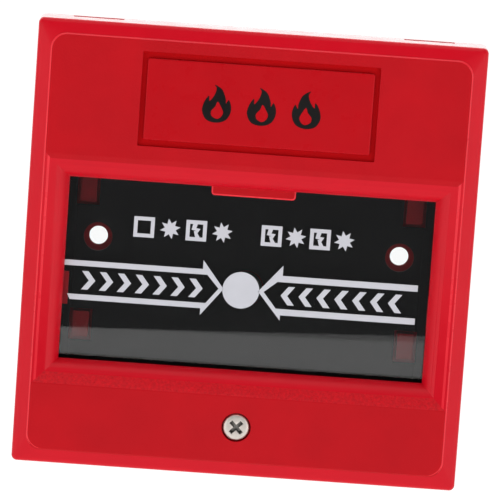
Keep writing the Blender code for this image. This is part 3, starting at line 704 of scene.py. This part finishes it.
def cover_finish(x, y, z, normal):
    """Finish of one face of the cover, from its centre and the way it looks."""
    front = -normal.y
    across = max(abs(x), abs(z))
    past_rim = across - (HALF - RIM_WIDTH)
    past_pocket = max(abs(x) - POCKET[0], abs(z - LEGEND_Z) - POCKET[1])
    dish_low, dish_top = WINDOW_BOTTOM - 0.5 * DISH_BOTTOM, WINDOW_TOP + 0.75 * DISH_TOP
    rim = past_rim > 0.1
    sunk = y > FIELD_Y + 0.02
    # The small numbers below are margins about each zone's edge
    beside_step = -1.2 < past_rim < 0.6 or abs(past_pocket) < 0.3
    step = 0.25 < front < 0.97 and y < FIELD_Y + 0.24 and beside_step and normal.z > -0.3
    lip_highlight = abs(y - LIP_FRONT_Y) < 0.2 and -0.1 < z - WINDOW_TOP < 0.2 and 0.2 < front < 0.9
    tongue = (LIP_FRONT_Y + 0.1 < y < LIP_REAR_Y - 0.05 and abs(x - TONGUE_X) < TONGUE_WIDTH / 2
              and -TONGUE_DROP - 0.1 < z - WINDOW_TOP < 0.3)
    below_window = WINDOW_BOTTOM - DISH_BOTTOM < z <= dish_low and y < LIP_FRONT_Y
    # Bevels at the rim step, around the legend pocket and on the window's top lip take the pale red: a
    # painted highlight
    if step or lip_highlight:
        return "edge"
    if sunk and below_window and not rim:
        return "sill"
    # The tongue's lower bevel takes the pale red, a painted highlight; its front keeps the plain field red
    # without the painted sheen
    if tongue:
        return "edge" if 0.2 < front < 0.97 else "field"
    # Faces sunk into the legend pocket take the groove red: painted shade
    if y > FIELD_Y + 0.2 and past_pocket < 0.1:
        return "groove_shade"
    if across > HALF - 0.5 and y > EDGE_Y - 0.3:
        return "outer"
    # The rim, the dish facets and the faces behind the lip take the lighter satin red, whose extra
    # brightness is painted sheen
    behind = y > LIP_FRONT_Y - 0.2
    return "satin" if rim or behind or sunk and dish_low < z < dish_top else "field"


def front_cover():
    """Hinged front with its rim, dished window, legend pocket, screw recess and hinge bars."""
    cover = cover_shell()
    cut_inside(cover)
    add(cover, cover_inner_features())
    cut_recesses(cover)
    add_hinge_bars(cover)
    softened(cover, 0.12)
    for face in cover.data.polygons:
        x, y, z = face.center / MM
        surface = cover_finish(x, y, z, face.normal)
        face.material_index = COVER_FINISHES.index(surface)
    return riding(cover, "cover", "front_cover")


def tongue_loops():
    """Tongue that hangs from the window's top edge, with rounded lower corners and front edge."""
    half, low = TONGUE_WIDTH / 2, WINDOW_TOP - TONGUE_DROP + TONGUE_CORNER
    loops = []
    for inset, y in ((0.0, LIP_REAR_Y - 0.02), (0.0, LIP_FRONT_Y + 0.36), (0.1, LIP_FRONT_Y + 0.25),
                     (0.32, LIP_FRONT_Y + 0.18)):
        radius = TONGUE_CORNER - inset
        outline = [(half - inset, WINDOW_TOP + 0.3), (inset - half, WINDOW_TOP + 0.3)]
        outline += arc((TONGUE_CORNER - half, low), radius, 180, 270, 6)
        outline += arc((half - TONGUE_CORNER, low), radius, 270, 360, 6)
        loops.append([(x + TONGUE_X, y, z) for x, z in outline])
    return loops


def cover_inner_features():
    """Tongue, screw boss, and the clips and ledges that hold the glass behind the window."""
    rear = GLASS_Y[1] + GLASS_PLAY
    root = LIP_REAR_Y - SINK
    arm = GLASS_X[1] + GLASS_PLAY
    features = Solid().rod((0, SCREW_Z), SCREW_BOSS, (FIELD_Y + FACE - SINK, -9.4))
    features.loft(tongue_loops())
    for side, reach in CLIP_REACHES:
        clip = [(arm, root), (arm + CLIP_ARM, root), (arm + CLIP_ARM, rear + CLIP_LIP),
                (reach, rear + CLIP_LIP), (reach, rear), (arm, rear)]
        features.prism([(side * x, y) for x, y in clip], CLIP_Z, "Z")
        low = GLASS_Z[0] - GLASS_PLAY
        features.box(sorted(side * x for x in LEDGE_X), (root, rear), (low - LEDGE, low))
    high = GLASS_Z[1] + GLASS_PLAY
    features.box((-TOP_LEDGE_X, TOP_LEDGE_X), (root, rear), (high, high + LEDGE))
    return features


def legend_plate():
    """Smooth plate in the pocket above the window, with its two staking pegs."""
    rear, end = POCKET_FLOOR_Y - 0.3, span("legend_plate", "Y")[1]
    face = FIELD_Y + PRINT_DEPTH
    levels = ((0.0, rear), (0.0, face + 0.25), (0.04, face + 0.12), (0.12, face + 0.04), (0.25, face))
    z = (LEGEND_Z - LEGEND_HALF_Z, LEGEND_Z + LEGEND_HALF_Z)
    loops = plate_loops((-LEGEND_X, LEGEND_X), z, 0.4, levels, 5)
    plate = make("legend_plate_fine", Solid().loft(loops), ("legend",))
    pegs = Solid()
    for x in (-PEG_X, PEG_X):
        peg = [(1.15, rear - SINK), (1.15, end - 0.1), (1.0, end)]
        pegs.turned((x, LEGEND_Z), peg, segments=32)
    add(plate, pegs)
    riding(softened(plate, 0.0), "cover", "legend_plate")


def flame_mark(name, x, lean):
    """Black flame with a drop-shaped opening, printed on the legend plate."""
    body = [(0.0, -0.5), (-0.26, -0.43), (-0.38, -0.2), (-0.33, 0.04), (-0.22, 0.2), (-0.2, 0.06),
            (-0.08, 0.22), (-0.03, 0.4), (-0.08, 0.5), (0.12, 0.38), (0.22, 0.16), (0.24, 0.02),
            (0.31, 0.12), (0.38, -0.06), (0.36, -0.26), (0.24, -0.43)]
    core = [(0.02, -0.4), (-0.12, -0.33), (-0.14, -0.2), (-0.04, -0.07), (0.02, 0.06),
            (0.12, -0.08), (0.18, -0.22), (0.13, -0.34)]
    outlines = [
        [(x + lean * FLAME_HEIGHT * u, LEGEND_Z + FLAME_HEIGHT * v)
         for u, v in smooth_outline(points)]
        for points in (body, core)
    ]
    depth = (FIELD_Y, FIELD_Y + PRINT_DEPTH - PRINT_GAP)
    mark = make(name, Solid().prism(outlines[0], depth, "Y"), ("ink",))
    cut(mark, Solid().prism(outlines[1], (FIELD_Y - CLEAR, FIELD_Y + CLEAR), "Y"))
    riding(softened(mark, 0.0), "cover")


def glass_pane():
    """Pane with ground edges, held behind the window."""
    front, rear = GLASS_Y
    levels = ((0.15, front), (0.05, front + 0.05), (0.0, front + 0.15),
              (0.0, rear - 0.15), (0.05, rear - 0.05), (0.15, rear))
    solid = Solid().loft(plate_loops(GLASS_X, GLASS_Z, 0.6, levels, 6))
    plain("glass_pane_fine", solid, "glass", "cover", "glass_pane")


def printed(name, outlines):
    """White marks printed on the front of the glass."""
    rear = GLASS_Y[0] - PRINT_GAP
    marks = Solid()
    for outline in outlines:
        marks.prism(outline, (rear - PRINT_DEPTH, rear), "Y")
    plain(name, marks, "print", "cover")


def bar(x, z):
    """Rectangle outline between the two values of x and z."""
    return [(x[0], z[0]), (x[1], z[0]), (x[1], z[1]), (x[0], z[1])]


def arrow(tip, barb, tails, slant, inner_tip, centre, bars):
    """Outlined arrow that lies along X: two long bars with barbs that meet at its tip."""
    (near, far), axis = bars, DISC[1]
    inner = barb + math.copysign(BARB_CUT, tip - barb)
    return [
        (tails[0], centre + far), (barb, centre + far), (barb, axis + BARB_REACH), (tip, axis),
        (barb, axis - BARB_REACH), (barb, centre - far), (tails[1] + slant, centre - far),
        (tails[1], centre - near), (inner, centre - near), (inner_tip, axis),
        (inner, centre + near), (tails[0], centre + near),
    ]


def pane_mark(x, cracked):
    """Small framed pane about x, with a zigzag crack if it is broken."""
    half, line = WORD_HEIGHT / 2, 0.75
    left, right, low, high = x - half, x + half, WORD_Z - half, WORD_Z + half
    outlines = [
        bar((left, right), (high - line, high)), bar((left, right), (low, low + line)),
        bar((left, left + line), (low + line, high - line)),
        bar((right - line, right), (low + line, high - line)),
    ]
    if cracked:
        crack = [(-0.7, 1.3), (0.2, 1.3), (-0.05, 0.5), (0.8, 0.4), (0.25, -0.5), (0.75, -1.3),
                 (-0.15, -1.3), (-0.5, -0.1), (0.0, -0.05), (-0.95, 0.15)]
        outlines.append([(x + u, WORD_Z + v) for u, v in crack])
    return outlines


def burst_mark(x, points=8):
    """Star-shaped burst about x."""
    outline = []
    for step in range(2 * points):
        radius = WORD_HEIGHT / 2 if step % 2 == 0 else WORD_HEIGHT / 3.7
        angle = math.pi * (step + 0.5) / points
        outline.append((x + radius * math.cos(angle), WORD_Z + radius * math.sin(angle)))
    return [outline]


def chevrons(start, pitch, count, centre, point):
    """Row of chevrons that point along X."""
    reach, half, thick = 1.45 * point, 1.85, 1.3 * point
    outlines = []
    for index in range(count):
        x = start + pitch * index
        outlines.append([
            (x, centre + half), (x + thick, centre + half), (x + thick + reach, centre),
            (x + thick, centre - half), (x, centre - half), (x + reach, centre),
        ])
    return outlines


def word_marks(start, pitch, kinds):
    """Row of whole panes, broken panes and bursts in place of a word."""
    outlines = []
    for index, kind in enumerate(kinds):
        x = start + pitch * index
        outlines += burst_mark(x) if kind == "burst" else pane_mark(x, kind == "broken")
    return outlines


def glass_print():
    """Disc, arrows and pictograms on the glass."""
    x, z, radius = DISC
    printed("print_disc", [[(u, v) for u, y, v in circle((x, z), radius, 0, "Y", 64)]])
    left_z, right_z = -7.57, -7.85
    printed("print_arrow_left", [arrow(
        tip=-4.42, barb=-8.75, tails=(-36.4, -35.3), slant=0.6, inner_tip=-5.41, centre=left_z,
        bars=(2.83, 3.93),
    )])
    printed("print_arrow_right", [arrow(
        tip=2.42, barb=7.1, tails=(33.95, 33.85), slant=0.0, inner_tip=3.53, centre=right_z,
        bars=(2.68, 3.95),
    )])
    printed("print_glass_left", word_marks(-20.93, 5.17, ("whole", "burst", "broken", "burst")))
    printed("print_glass_right", word_marks(4.32, 4.81, ("broken", "burst", "broken", "burst")))
    printed("print_chevrons_left", chevrons(-32.6, 3.55, 7, left_z, 1))
    printed("print_chevrons_right", chevrons(31.0, -3.55, 7, right_z, -1))


def cross_recess(centre, outline, taper, mouth, floor):
    """Recess about a centre that narrows from its mouth to its floor."""
    return Solid().loft([
        [(centre[0] + share * u, y, centre[1] + share * v) for u, v in outline]
        for share, y in ((1, mouth), (taper, floor))
    ])


def cover_screw():
    """Cross-recessed screw with a nearly flat head, rounded at its edge."""
    front = SCREW_FRONT_Y
    profile = [(1.2, front), (1.8, front + 0.02), (2.2, front + 0.06), (2.4, front + 0.14),
               (2.52, front + 0.26), (2.58, front + 0.42), (HEAD_RADIUS, front + 0.6),
               (HEAD_RADIUS, HEAD_REAR_Y), (2.5, HEAD_REAR_Y + 0.1), (1.5, HEAD_REAR_Y + 0.1)]
    profile += thread(-11.4, -5.2, 0.5, crest=1.5, root=1.24, rise=(0.22, 0.26, 0.48))
    profile += [(1.5, -4.95), (1.1, -4.55)]
    screw = make("cover_screw_fine", Solid().turned((0, SCREW_Z), profile),
                 ("nickel", "recess"))
    cut(screw, cross_recess((0, SCREW_Z), cross(3.3, 0.8, 45), 0.7, front - 0.2, front + 1.1))
    softened(screw, 0.05)
    # Faces inside the cross recess take the darker nickel: painted shade
    for face in screw.data.polygons:
        x, y, z = face.center / MM
        inside = math.hypot(x, z - SCREW_Z) < 2.0 and front + 0.2 < y < SEAT_Y + 0.3
        face.material_index = 1 if inside else 0
    riding(screw, "cover", "cover_screw")


def turned_piece(node, body, centre, profile, surface, axis="Y", segments=64, closed=False):
    """Turned piece that stands for a CAD node."""
    solid = Solid().turned(centre, profile, axis, segments, closed)
    plain(f"{node}_fine", solid, surface, body, node)


def small_rings():
    """Washer on the cover screw, ring on the plunger and knurled insert in the base."""
    low, high = span("screw_washer", "Y")
    turned_piece("screw_washer", "cover", (0, SCREW_Z), [
        (1.85, low), (1.8, low + 0.05), (1.8, high - 0.05), (1.85, high), (3.1, high),
        (3.2, high - 0.08), (3.2, low + 0.08), (3.1, low),
    ], "steel", closed=True)
    low, high = span("plunger_ring", "Y")
    turned_piece("plunger_ring", "plunger", (0, AXIS_Z), [
        (1.35, low), (2.52, low), (2.6, low + 0.07), (2.6, high - 0.07), (2.52, high), (1.35, high),
    ], "steel", closed=True)
    low, high = span("screw_insert", "Y")
    half = [(2.0, 0.0, False), (2.6, 0.0, False), (2.7, 0.1, True), (2.7, 1.5, True),
            (2.45, 1.7, False)]
    profile = [(radius, low + inset, knurled) for radius, inset, knurled in half]
    profile += [(radius, high - inset, knurled) for radius, inset, knurled in reversed(half)]
    valley, loops = 0.965, []
    for radius, y, knurled in profile:
        loop = circle((0, SCREW_Z), radius, y, "Y", 72)
        if knurled:
            loop[1::2] = circle((0, SCREW_Z), radius * valley, y, "Y", 72)[1::2]
        loops.append(loop)
    insert = Solid().loft(loops, closed=True)
    plain("screw_insert_fine", insert, "brass", "base", "screw_insert")


def hook_outline():
    """Cup under a hinge bar, open upwards, in the plane across X."""
    inner, outer = BAR_RADIUS + 0.3, BAR_RADIUS + 0.95
    centre = (HINGE_Y, HINGE_Z)
    return arc(centre, outer, 170, 370, 20) + arc(centre, inner, 370, 170, 20)


def add_base_front(plate):
    """Add what stands in front of the base: its rim, bosses, latches and hinge hooks."""
    root = BASE_FRONT_Y + SINK
    side, end = (INNER - gap for gap in BASE_GAPS)
    rim = []
    for inset, y in ((0, root), (0, BASE_RIM_Y), (BASE_RIM, BASE_RIM_Y), (BASE_RIM, root)):
        rim.append(rounded((inset - side, side - inset), (inset - end, end - inset), 0.6, y, 4))
    add(plate, Solid().loft(rim, closed=True))

    front = Solid()
    for at in MOUNTS:
        front.rod(at, MOUNT_BOSS, (root, BOSS_FRONT_Y))
    front.rod((0, AXIS_Z), CHAMBER_RADIUS + CHAMBER_WALL, (root, BOSS_FRONT_Y))
    front.rod((0, SCREW_Z), INSERT_BOSS, (root, INSERT_BOSS_Y))
    half_x, half_z = (size / 2 for size in LATCH_SIZE)
    for x, z in LATCHES:
        front.box((x - half_x, x + half_x), (root, LATCH_FRONT_Y), (z - half_z, z + half_z))
    for x in (-HOOK_X, HOOK_X):
        front.prism(hook_outline(), (x - HOOK_WIDTH / 2, x + HOOK_WIDTH / 2), "X")
    add(plate, front)


def cut_base_bores(plate):
    """Cut the wall-screw holes, plunger chamber, insert and post bores, and ejector marks."""
    bores = Solid()
    before, behind = BOSS_FRONT_Y - CLEAR, CLEAR
    for at in MOUNTS:
        bores.turned(at, [
            (MOUNT_SINK[0], before), (MOUNT_SINK[0], BOSS_FRONT_Y),
            (MOUNT_HOLE, MOUNT_SINK[1]), (MOUNT_HOLE, MOUNT_RECESS_Y),
            (MOUNT_RECESS, MOUNT_RECESS_Y), (MOUNT_RECESS, behind),
        ])
    bores.turned((0, AXIS_Z), [
        (CHAMBER_RADIUS, before), (CHAMBER_RADIUS, CHAMBER_FLOOR_Y),
        (STEM_RADIUS + STEM_PLAY, CHAMBER_FLOOR_Y), (STEM_RADIUS + STEM_PLAY, behind),
    ])
    bores.rod((0, SCREW_Z), INSERT_BORE, (INSERT_BOSS_Y - 0.8, INSERT_BORE_Y))
    for at in POSTS:
        bores.rod(at, POST_HOLE, (POST_HOLE_Y, BOARD_Y[1]), segments=32)
    for at in EJECTOR_MARKS:
        bores.rod(at, EJECTOR_RADIUS, (-EJECTOR_DEPTH, 0.5), segments=40)
    cut(plate, bores)


def base_plate():
    """Plate against the wall: rim, bosses, plunger tube, hooks, board posts and ejector marks."""
    edge = HALF - DRAFT
    plate = make("base_plate_fine", Solid().loft([
        square(edge - 0.12, 1.0, 0.0),
        square(edge, EDGE_RADIUS, -0.12),
        square(edge, EDGE_RADIUS, BASE_FRONT_Y + 0.3),
        square(edge - 0.3, 0.9, BASE_FRONT_Y),
    ]), ("base", "inner"))
    add_base_front(plate)
    posts = Solid()
    for at in POSTS:
        posts.turned(at, [(3.0, -0.5), (3.0, 0.1), (2.8, 1.2), (2.7, BOARD_Y[0] - 0.4),
                          (2.6, BOARD_Y[0] - 0.3)])
    add(plate, posts)
    cut_base_bores(plate)
    softened(plate, 0.1)
    # Faces in front of the base plate near its middle take the half-bright red: painted shade
    for face in plate.data.polygons:
        x, y, z = face.center / MM
        face.material_index = 1 if y < BASE_FRONT_Y - 0.2 and abs(z) < HALF / 2 else 0
    riding(plate, "base", "base_plate")


def backing_plate():
    """Black plate behind the glass with its raised side borders and holes."""
    x, y, z = BACKING_X, BACKING_Y, BACKING_Z
    front, rise = BACKING_FRONT_Y, BACKING_BORDER
    loops = plate_loops(x, z, 0.8, ((0, y[1]), (0, front)), 6)
    plate = make("backing_plate_fine", Solid().loft(loops), ("backing",))
    borders = Solid()
    for side in (-1, 1):
        across = sorted((side * BACKING_BORDER_X, side * (x[1] - 0.4)))
        borders.box(across, (front - rise, front + rise), (z[0] + 0.9, z[1] - 0.9))
    add(plate, borders)
    through = (front - 1.3, front + 1.7)
    holes = Solid().rod((0, AXIS_Z), BACKING_CENTRE_HOLE, through)
    for centre in MOUNTS:
        holes.rod(centre, BACKING_HOLE, through)
    half_x, half_z = (size / 2 + LATCH_GAP for size in LATCH_SIZE)
    for latch_x, latch_z in LATCHES:
        holes.box((latch_x - half_x, latch_x + half_x), through, (latch_z - half_z, latch_z + half_z))
    cut(plate, holes)
    riding(softened(plate, 0.06), "base", "backing_plate")


def plunger():
    """Plunger with its domed head, and the coil spring that pushes it at the glass."""
    front, rear = span("plunger", "Y")
    turned_piece("plunger", "plunger", (0, AXIS_Z), [
        (0.8, front), (1.5, front + 0.02), (2.1, front + 0.07), (2.6, front + 0.17),
        (2.95, front + 0.32), (3.12, front + 0.46), (3.2, front + 0.64), (3.2, front + 2.7),
        (3.1, front + 2.8), (STEM_RADIUS, front + 2.8), (STEM_RADIUS, rear - 1.3),
        (1.1, rear - 1.3), (1.1, rear - 0.5), (STEM_RADIUS, rear - 0.5), (STEM_RADIUS, rear - 0.2),
        (1.2, rear),
    ], "dark_acetal")
    low, high = span("plunger_spring", "Y")
    start, end = high - COIL_WIRE, low + COIL_WIRE
    path = []
    for step in range(COIL_TURNS * COIL_STEPS + 1):
        share = step / (COIL_TURNS * COIL_STEPS)
        eased = share * share * (3 - 2 * share)
        angle = 2 * math.pi * step / COIL_STEPS
        path.append((COIL_RADIUS * math.cos(angle),
                     start + (end - start) * (0.35 * eased + 0.65 * share),
                     AXIS_Z + COIL_RADIUS * math.sin(angle)))
    spring = make("plunger_spring_fine", Solid().tube(path, COIL_WIRE), ("steel",))
    softened(spring, 0.0)
    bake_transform(spring, "base", "plunger", start=(0, start * MM, AXIS_Z * MM),
             end=(0, end * MM, AXIS_Z * MM))
    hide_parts("plunger_spring")


def switch():
    """Snap-action switch: case, lever and its pin, button and contact pins."""
    refined("switch_body", "base", "case")
    refined("switch_lever", "lever", "brushed", 0.05)
    refined("switch_button", "button", "acetal", 0.06)
    low, high = span("switch_lever_pin", "Z")
    centre = (middle("switch_lever_pin", "X"), middle("switch_lever_pin", "Y"))
    turned_piece("switch_lever_pin", "base", centre,
                 [(0.28, low), (0.4, low + 0.12), (0.4, high - 0.12), (0.28, high)],
                 "steel", axis="Z", segments=32)
    for index in (1, 2, 3):
        refined(f"switch_pin_{index}", "base", "solder", 0.04)


def trace(solid, points):
    """Raised trace with mitred corners on the board's back."""
    spots = [Vector(point) for point in points]
    ahead = [(b - a).normalized() for a, b in zip(spots, spots[1:])]
    sides = [Vector((-step.y, step.x)) for step in ahead]
    mitres = [(a + b) / (1 + a.dot(b)) for a, b in zip(sides, sides[1:])]
    offsets = [TRACE_HALF * side for side in [sides[0], *mitres, sides[-1]]]
    outline = [spot + offset for spot, offset in zip(spots, offsets)]
    outline += [spot - offset for spot, offset in zip(spots, offsets)][::-1]
    rear = BOARD_Y[1] + PRINT_GAP
    solid.prism([(point.x, point.y) for point in outline], (rear, rear + TRACE_THICK), "Y")


def traces():
    """Traces from the switch's pins and the resistor to the terminals."""
    pin_z, turn_z = AXIS_Z, RESISTOR_Z + 3.2
    solid = Solid()
    trace(solid, [(PIN_XS[0], pin_z - 1.6), (PIN_XS[0], pin_z - 4.2), (POLE_XS[0], pin_z - 7.0),
                  (POLE_XS[0], CLAMP_Z + 4.6)])
    trace(solid, [(PIN_XS[1], pin_z - 1.6), (PIN_XS[1], pin_z - 5.0), (POLE_XS[1], pin_z - 6.6),
                  (POLE_XS[1], CLAMP_Z + 4.6)])
    trace(solid, [(PIN_XS[2], pin_z + 1.6), (PIN_XS[2], RESISTOR_Z - 2.2),
                  (LEAD_X, RESISTOR_Z - 1.4)])
    trace(solid, [(-LEAD_X, RESISTOR_Z + 1.4), (-LEAD_X, turn_z), (15.5, turn_z),
                  (17.0, turn_z - 1.5), (17.0, pin_z - 4.0), (POLE_XS[3], CLAMP_Z + 5.2)])
    plain("board_traces", solid, "trace", "base")


def solder_joints(name, places):
    """Turned solder fillets: each place is a centre and its profile."""
    solid = Solid()
    for centre, profile in places:
        solid.turned(centre, profile, segments=32)
    plain(name, solid, "solder", "base")


def circuit_board():
    """Board with its holes, raised traces and solder joints."""
    refined("circuit_board", "base", "board", 0.04)
    traces()
    front, back = BOARD_Y
    pin = [(1.35, back + 0.02), (1.3, back + 0.12), (0.95, back + 0.3), (0.72, back + 0.62),
           (0.66, back + 0.8)]
    lead = [(1.0, back + 0.02), (0.95, back + 0.1), (0.6, back + 0.25), (0.42, back + 0.5)]
    pole = [(0.95, front - 0.02), (0.9, front - 0.12), (0.66, front - 0.4), (0.55, front - 0.75)]
    solder_joints("solder_joints", [((x, AXIS_Z), pin) for x in PIN_XS]
                  + [((x, RESISTOR_Z), lead) for x in (-LEAD_X, LEAD_X)])
    solder_joints("terminal_solder", [((x, CLAMP_Z), pole) for x in POLE_XS])


def board_screws():
    """Pan-head screws that hold the board on its posts."""
    tip, top = span("board_screw_1", "Y")
    seat = top - 1.35
    profile = [(0.7, tip), (1.1, tip + 0.5)]
    profile += thread(tip + 0.7, seat - 0.7, 0.55, crest=1.1, root=0.86, rise=(0.2, 0.26, 0.46))
    profile += [(1.1, seat), (2.2, seat), (2.3, seat + 0.08), (2.3, top - 0.7), (2.22, top - 0.45),
                (2.0, top - 0.23), (1.6, top - 0.07), (1.1, top)]
    for index, at in enumerate(POSTS, start=1):
        node = f"board_screw_{index}"
        screw = make(f"{node}_fine", Solid().turned(at, profile, segments=48), ("steel",))
        recess = cross(2.4, 0.6, 20 + 25 * index)
        cut(screw, cross_recess(at, recess, 0.5, top + 0.25, top - 0.85))
        riding(softened(screw, 0.0), "base", node)


def terminals():
    """Terminal block with its wire cages and slotted clamping screws."""
    refined("terminal_block", "base", "terminal", 0.1)
    tip, top = span("terminal_screw_1", "Y")
    profile = [(0.8, tip), (0.8, top - 2.1), (1.5, top - 2.0), (1.6, top - 1.9), (1.6, top - 0.3),
               (1.52, top - 0.12), (1.38, top)]
    for index, x in enumerate(POLE_XS, start=1):
        refined(f"terminal_clamp_{index}", "base", "brass", 0.04)
        node = f"terminal_screw_{index}"
        screw = make(f"{node}_fine", Solid().turned((x, CLAMP_Z), profile, segments=48), ("steel",))
        turn = math.radians(12 * index - 30)
        cos, sin = math.cos(turn), math.sin(turn)
        slot = [(x + u * cos - v * sin, CLAMP_Z + u * sin + v * cos)
                for u, v in bar((2.5, -2.5), (0.28, -0.28))]
        cut(screw, Solid().prism(slot, (top - 0.7, top + 0.8), "Y"))
        riding(softened(screw, 0.03), "base", node)


def resistor():
    """Resistor with a waisted body, colour bands and bent leads."""
    centre = (RESISTOR_Y, RESISTOR_Z)
    half = [(0.3, 3.4), (0.62, 3.38), (0.95, 3.25), (1.13, 3.0), (RESISTOR_RADIUS, 2.5), (1.1, 2.1),
            (0.97, 1.85), (0.95, 1.6)]
    body = [(radius, -at) for radius, at in half] + half[::-1]
    turned_piece("resistor", "base", centre, body, "ceramic", "X", segments=40)
    bands = (("band_a", -2.55), ("band_b", -0.9), ("band_a", 0.3), ("band_b", 2.55))
    for number, (surface, at) in enumerate(bands, start=1):
        radius = 1.17 if abs(at) > 2 else 0.97
        stripe = [(radius - 0.2, at - 0.26), (radius, at - 0.26), (radius, at + 0.26),
                  (radius - 0.2, at + 0.26)]
        band = Solid().turned(centre, stripe, "X", 40, closed=True)
        plain(f"resistor_band_{number}", band, surface, "base")
    leads = Solid()
    bend_x, bend_y = LEAD_X - 1, RESISTOR_Y - 1
    for side in (-1, 1):
        path = [(3.3, RESISTOR_Y), *arc((bend_x, bend_y), 1, 90, 0, 9), (LEAD_X, LEAD_END_Y)]
        leads.tube([(side * x, y, RESISTOR_Z) for x, y in path], LEAD_RADIUS)
    plain("resistor_leads", leads, "solder", "base")


# ---- studio

def camera():
    """Camera at the photograph's viewing angle."""
    e, a, r = (math.radians(value) for value in (ELEVATION, AZIMUTH, ROLL))
    back = Vector((math.sin(a) * math.cos(e), -math.cos(a) * math.cos(e), math.sin(e)))
    right = Vector((math.cos(a), math.sin(a), 0.0))
    up = back.cross(right)
    across = math.cos(r) * right + math.sin(r) * up
    upward = math.cos(r) * up - math.sin(r) * right
    data = bpy.data.cameras.new("camera")
    data.lens = LENS
    data.sensor_width = SENSOR
    data.clip_start = 0.01
    data.clip_end = 100.0
    made = linked("camera", data)
    turn = Matrix((across, upward, back)).transposed().to_4x4()
    made.matrix_world = Matrix.Translation(Vector(AIM) + back * DISTANCE) @ turn
    bpy.context.scene.camera = made


def backdrop():
    """White surroundings, brighter behind the object."""
    world = bpy.data.worlds.new("studio")
    world.use_nodes = True
    bpy.context.scene.world = world
    tree = world.node_tree
    where = tree.nodes.new("ShaderNodeTexCoord")
    split = tree.nodes.new("ShaderNodeSeparateXYZ")
    tree.links.new(where.outputs["Generated"], split.inputs["Vector"])
    strength = spread(tree, split.outputs["Y"], FRONT_GLOW, BACK_GLOW, start=-0.45, end=0.75)
    path = tree.nodes.new("ShaderNodeLightPath")
    seen = tree.nodes.new("ShaderNodeMath")
    seen.operation = "MAXIMUM"
    tree.links.new(strength, seen.inputs[0])
    tree.links.new(path.outputs["Is Camera Ray"], seen.inputs[1])
    tree.links.new(seen.outputs["Value"], tree.nodes["Background"].inputs["Strength"])
    tree.nodes["Background"].inputs["Color"].default_value = (1.0, 1.0, 1.0, 1.0)


def softbox(name, place_at, size, power):
    """Soft area light that faces the object."""
    data = bpy.data.lights.new(name, "AREA")
    data.shape = "RECTANGLE"
    data.size, data.size_y = size
    data.energy = power
    made = linked(name, data)
    made.location = place_at
    made.rotation_euler = Vector(place_at).to_track_quat("Z", "Y").to_euler()


def stage_sheet(name, corners, surface):
    """Flat four-cornered piece of the studio, which isn't part of the object."""
    mesh = bpy.data.meshes.new(name)
    mesh.from_pydata(corners, [], [(0, 1, 2, 3)])
    mesh.materials.append(surface)
    made = linked(name, mesh)
    return made


def floor():
    """Plain pale floor below the object."""
    half = FLOOR_SIZE / 2
    corners = [(-half, -half, 0), (half, -half, 0), (half, half, 0), (-half, half, 0)]
    stage_sheet("floor", corners, FINISHES["floor"]).location.z = FLOOR_Z


def dark_card():
    """Dark card in front that only reflections see: it keeps the glass and the red deep."""
    surface = bpy.data.materials.new("dark_card")
    surface.use_nodes = True
    tree = surface.node_tree
    tree.nodes.remove(tree.nodes["Principled BSDF"])
    glow = tree.nodes.new("ShaderNodeEmission")
    glow.inputs["Color"].default_value = (*CARD_GLOW, 1.0)
    tree.links.new(glow.outputs["Emission"], tree.nodes["Material Output"].inputs["Surface"])
    half, height = CARD_SIZE[0] / 2, CARD_SIZE[1]
    corners = [(-half, 0, 0), (half, 0, 0), (half, 0, height), (-half, 0, height)]
    made = stage_sheet("dark_card", corners, surface)
    turn = Matrix.Rotation(math.radians(CARD_TILT), 4, "Y")
    made.matrix_world = Matrix.Translation((0, -CARD_AWAY, CARD_LOW)) @ turn
    made.visible_camera = False
    made.visible_diffuse = False
    made.visible_shadow = False


camera()
front_cover()
legend_plate()
for number, lean in enumerate((1, 1, -1), start=1):
    flame_mark(f"flame_mark_{number}", FLAME_X + FLAME_PITCH * (number - 2), lean)
glass_pane()
glass_print()
cover_screw()
small_rings()
base_plate()
backing_plate()
plunger()
switch()
circuit_board()
board_screws()
terminals()
resistor()
backdrop()
softbox("light_left", (-SIDE_LIGHT[0], *SIDE_LIGHT[1:]), SIDE_SIZE, SIDE_POWER[0])
softbox("light_right", SIDE_LIGHT, SIDE_SIZE, SIDE_POWER[1])
softbox("light_top", TOP_LIGHT, TOP_SIZE, TOP_POWER)
floor()
dark_card()
bpy.context.scene.view_settings.view_transform = "Standard"
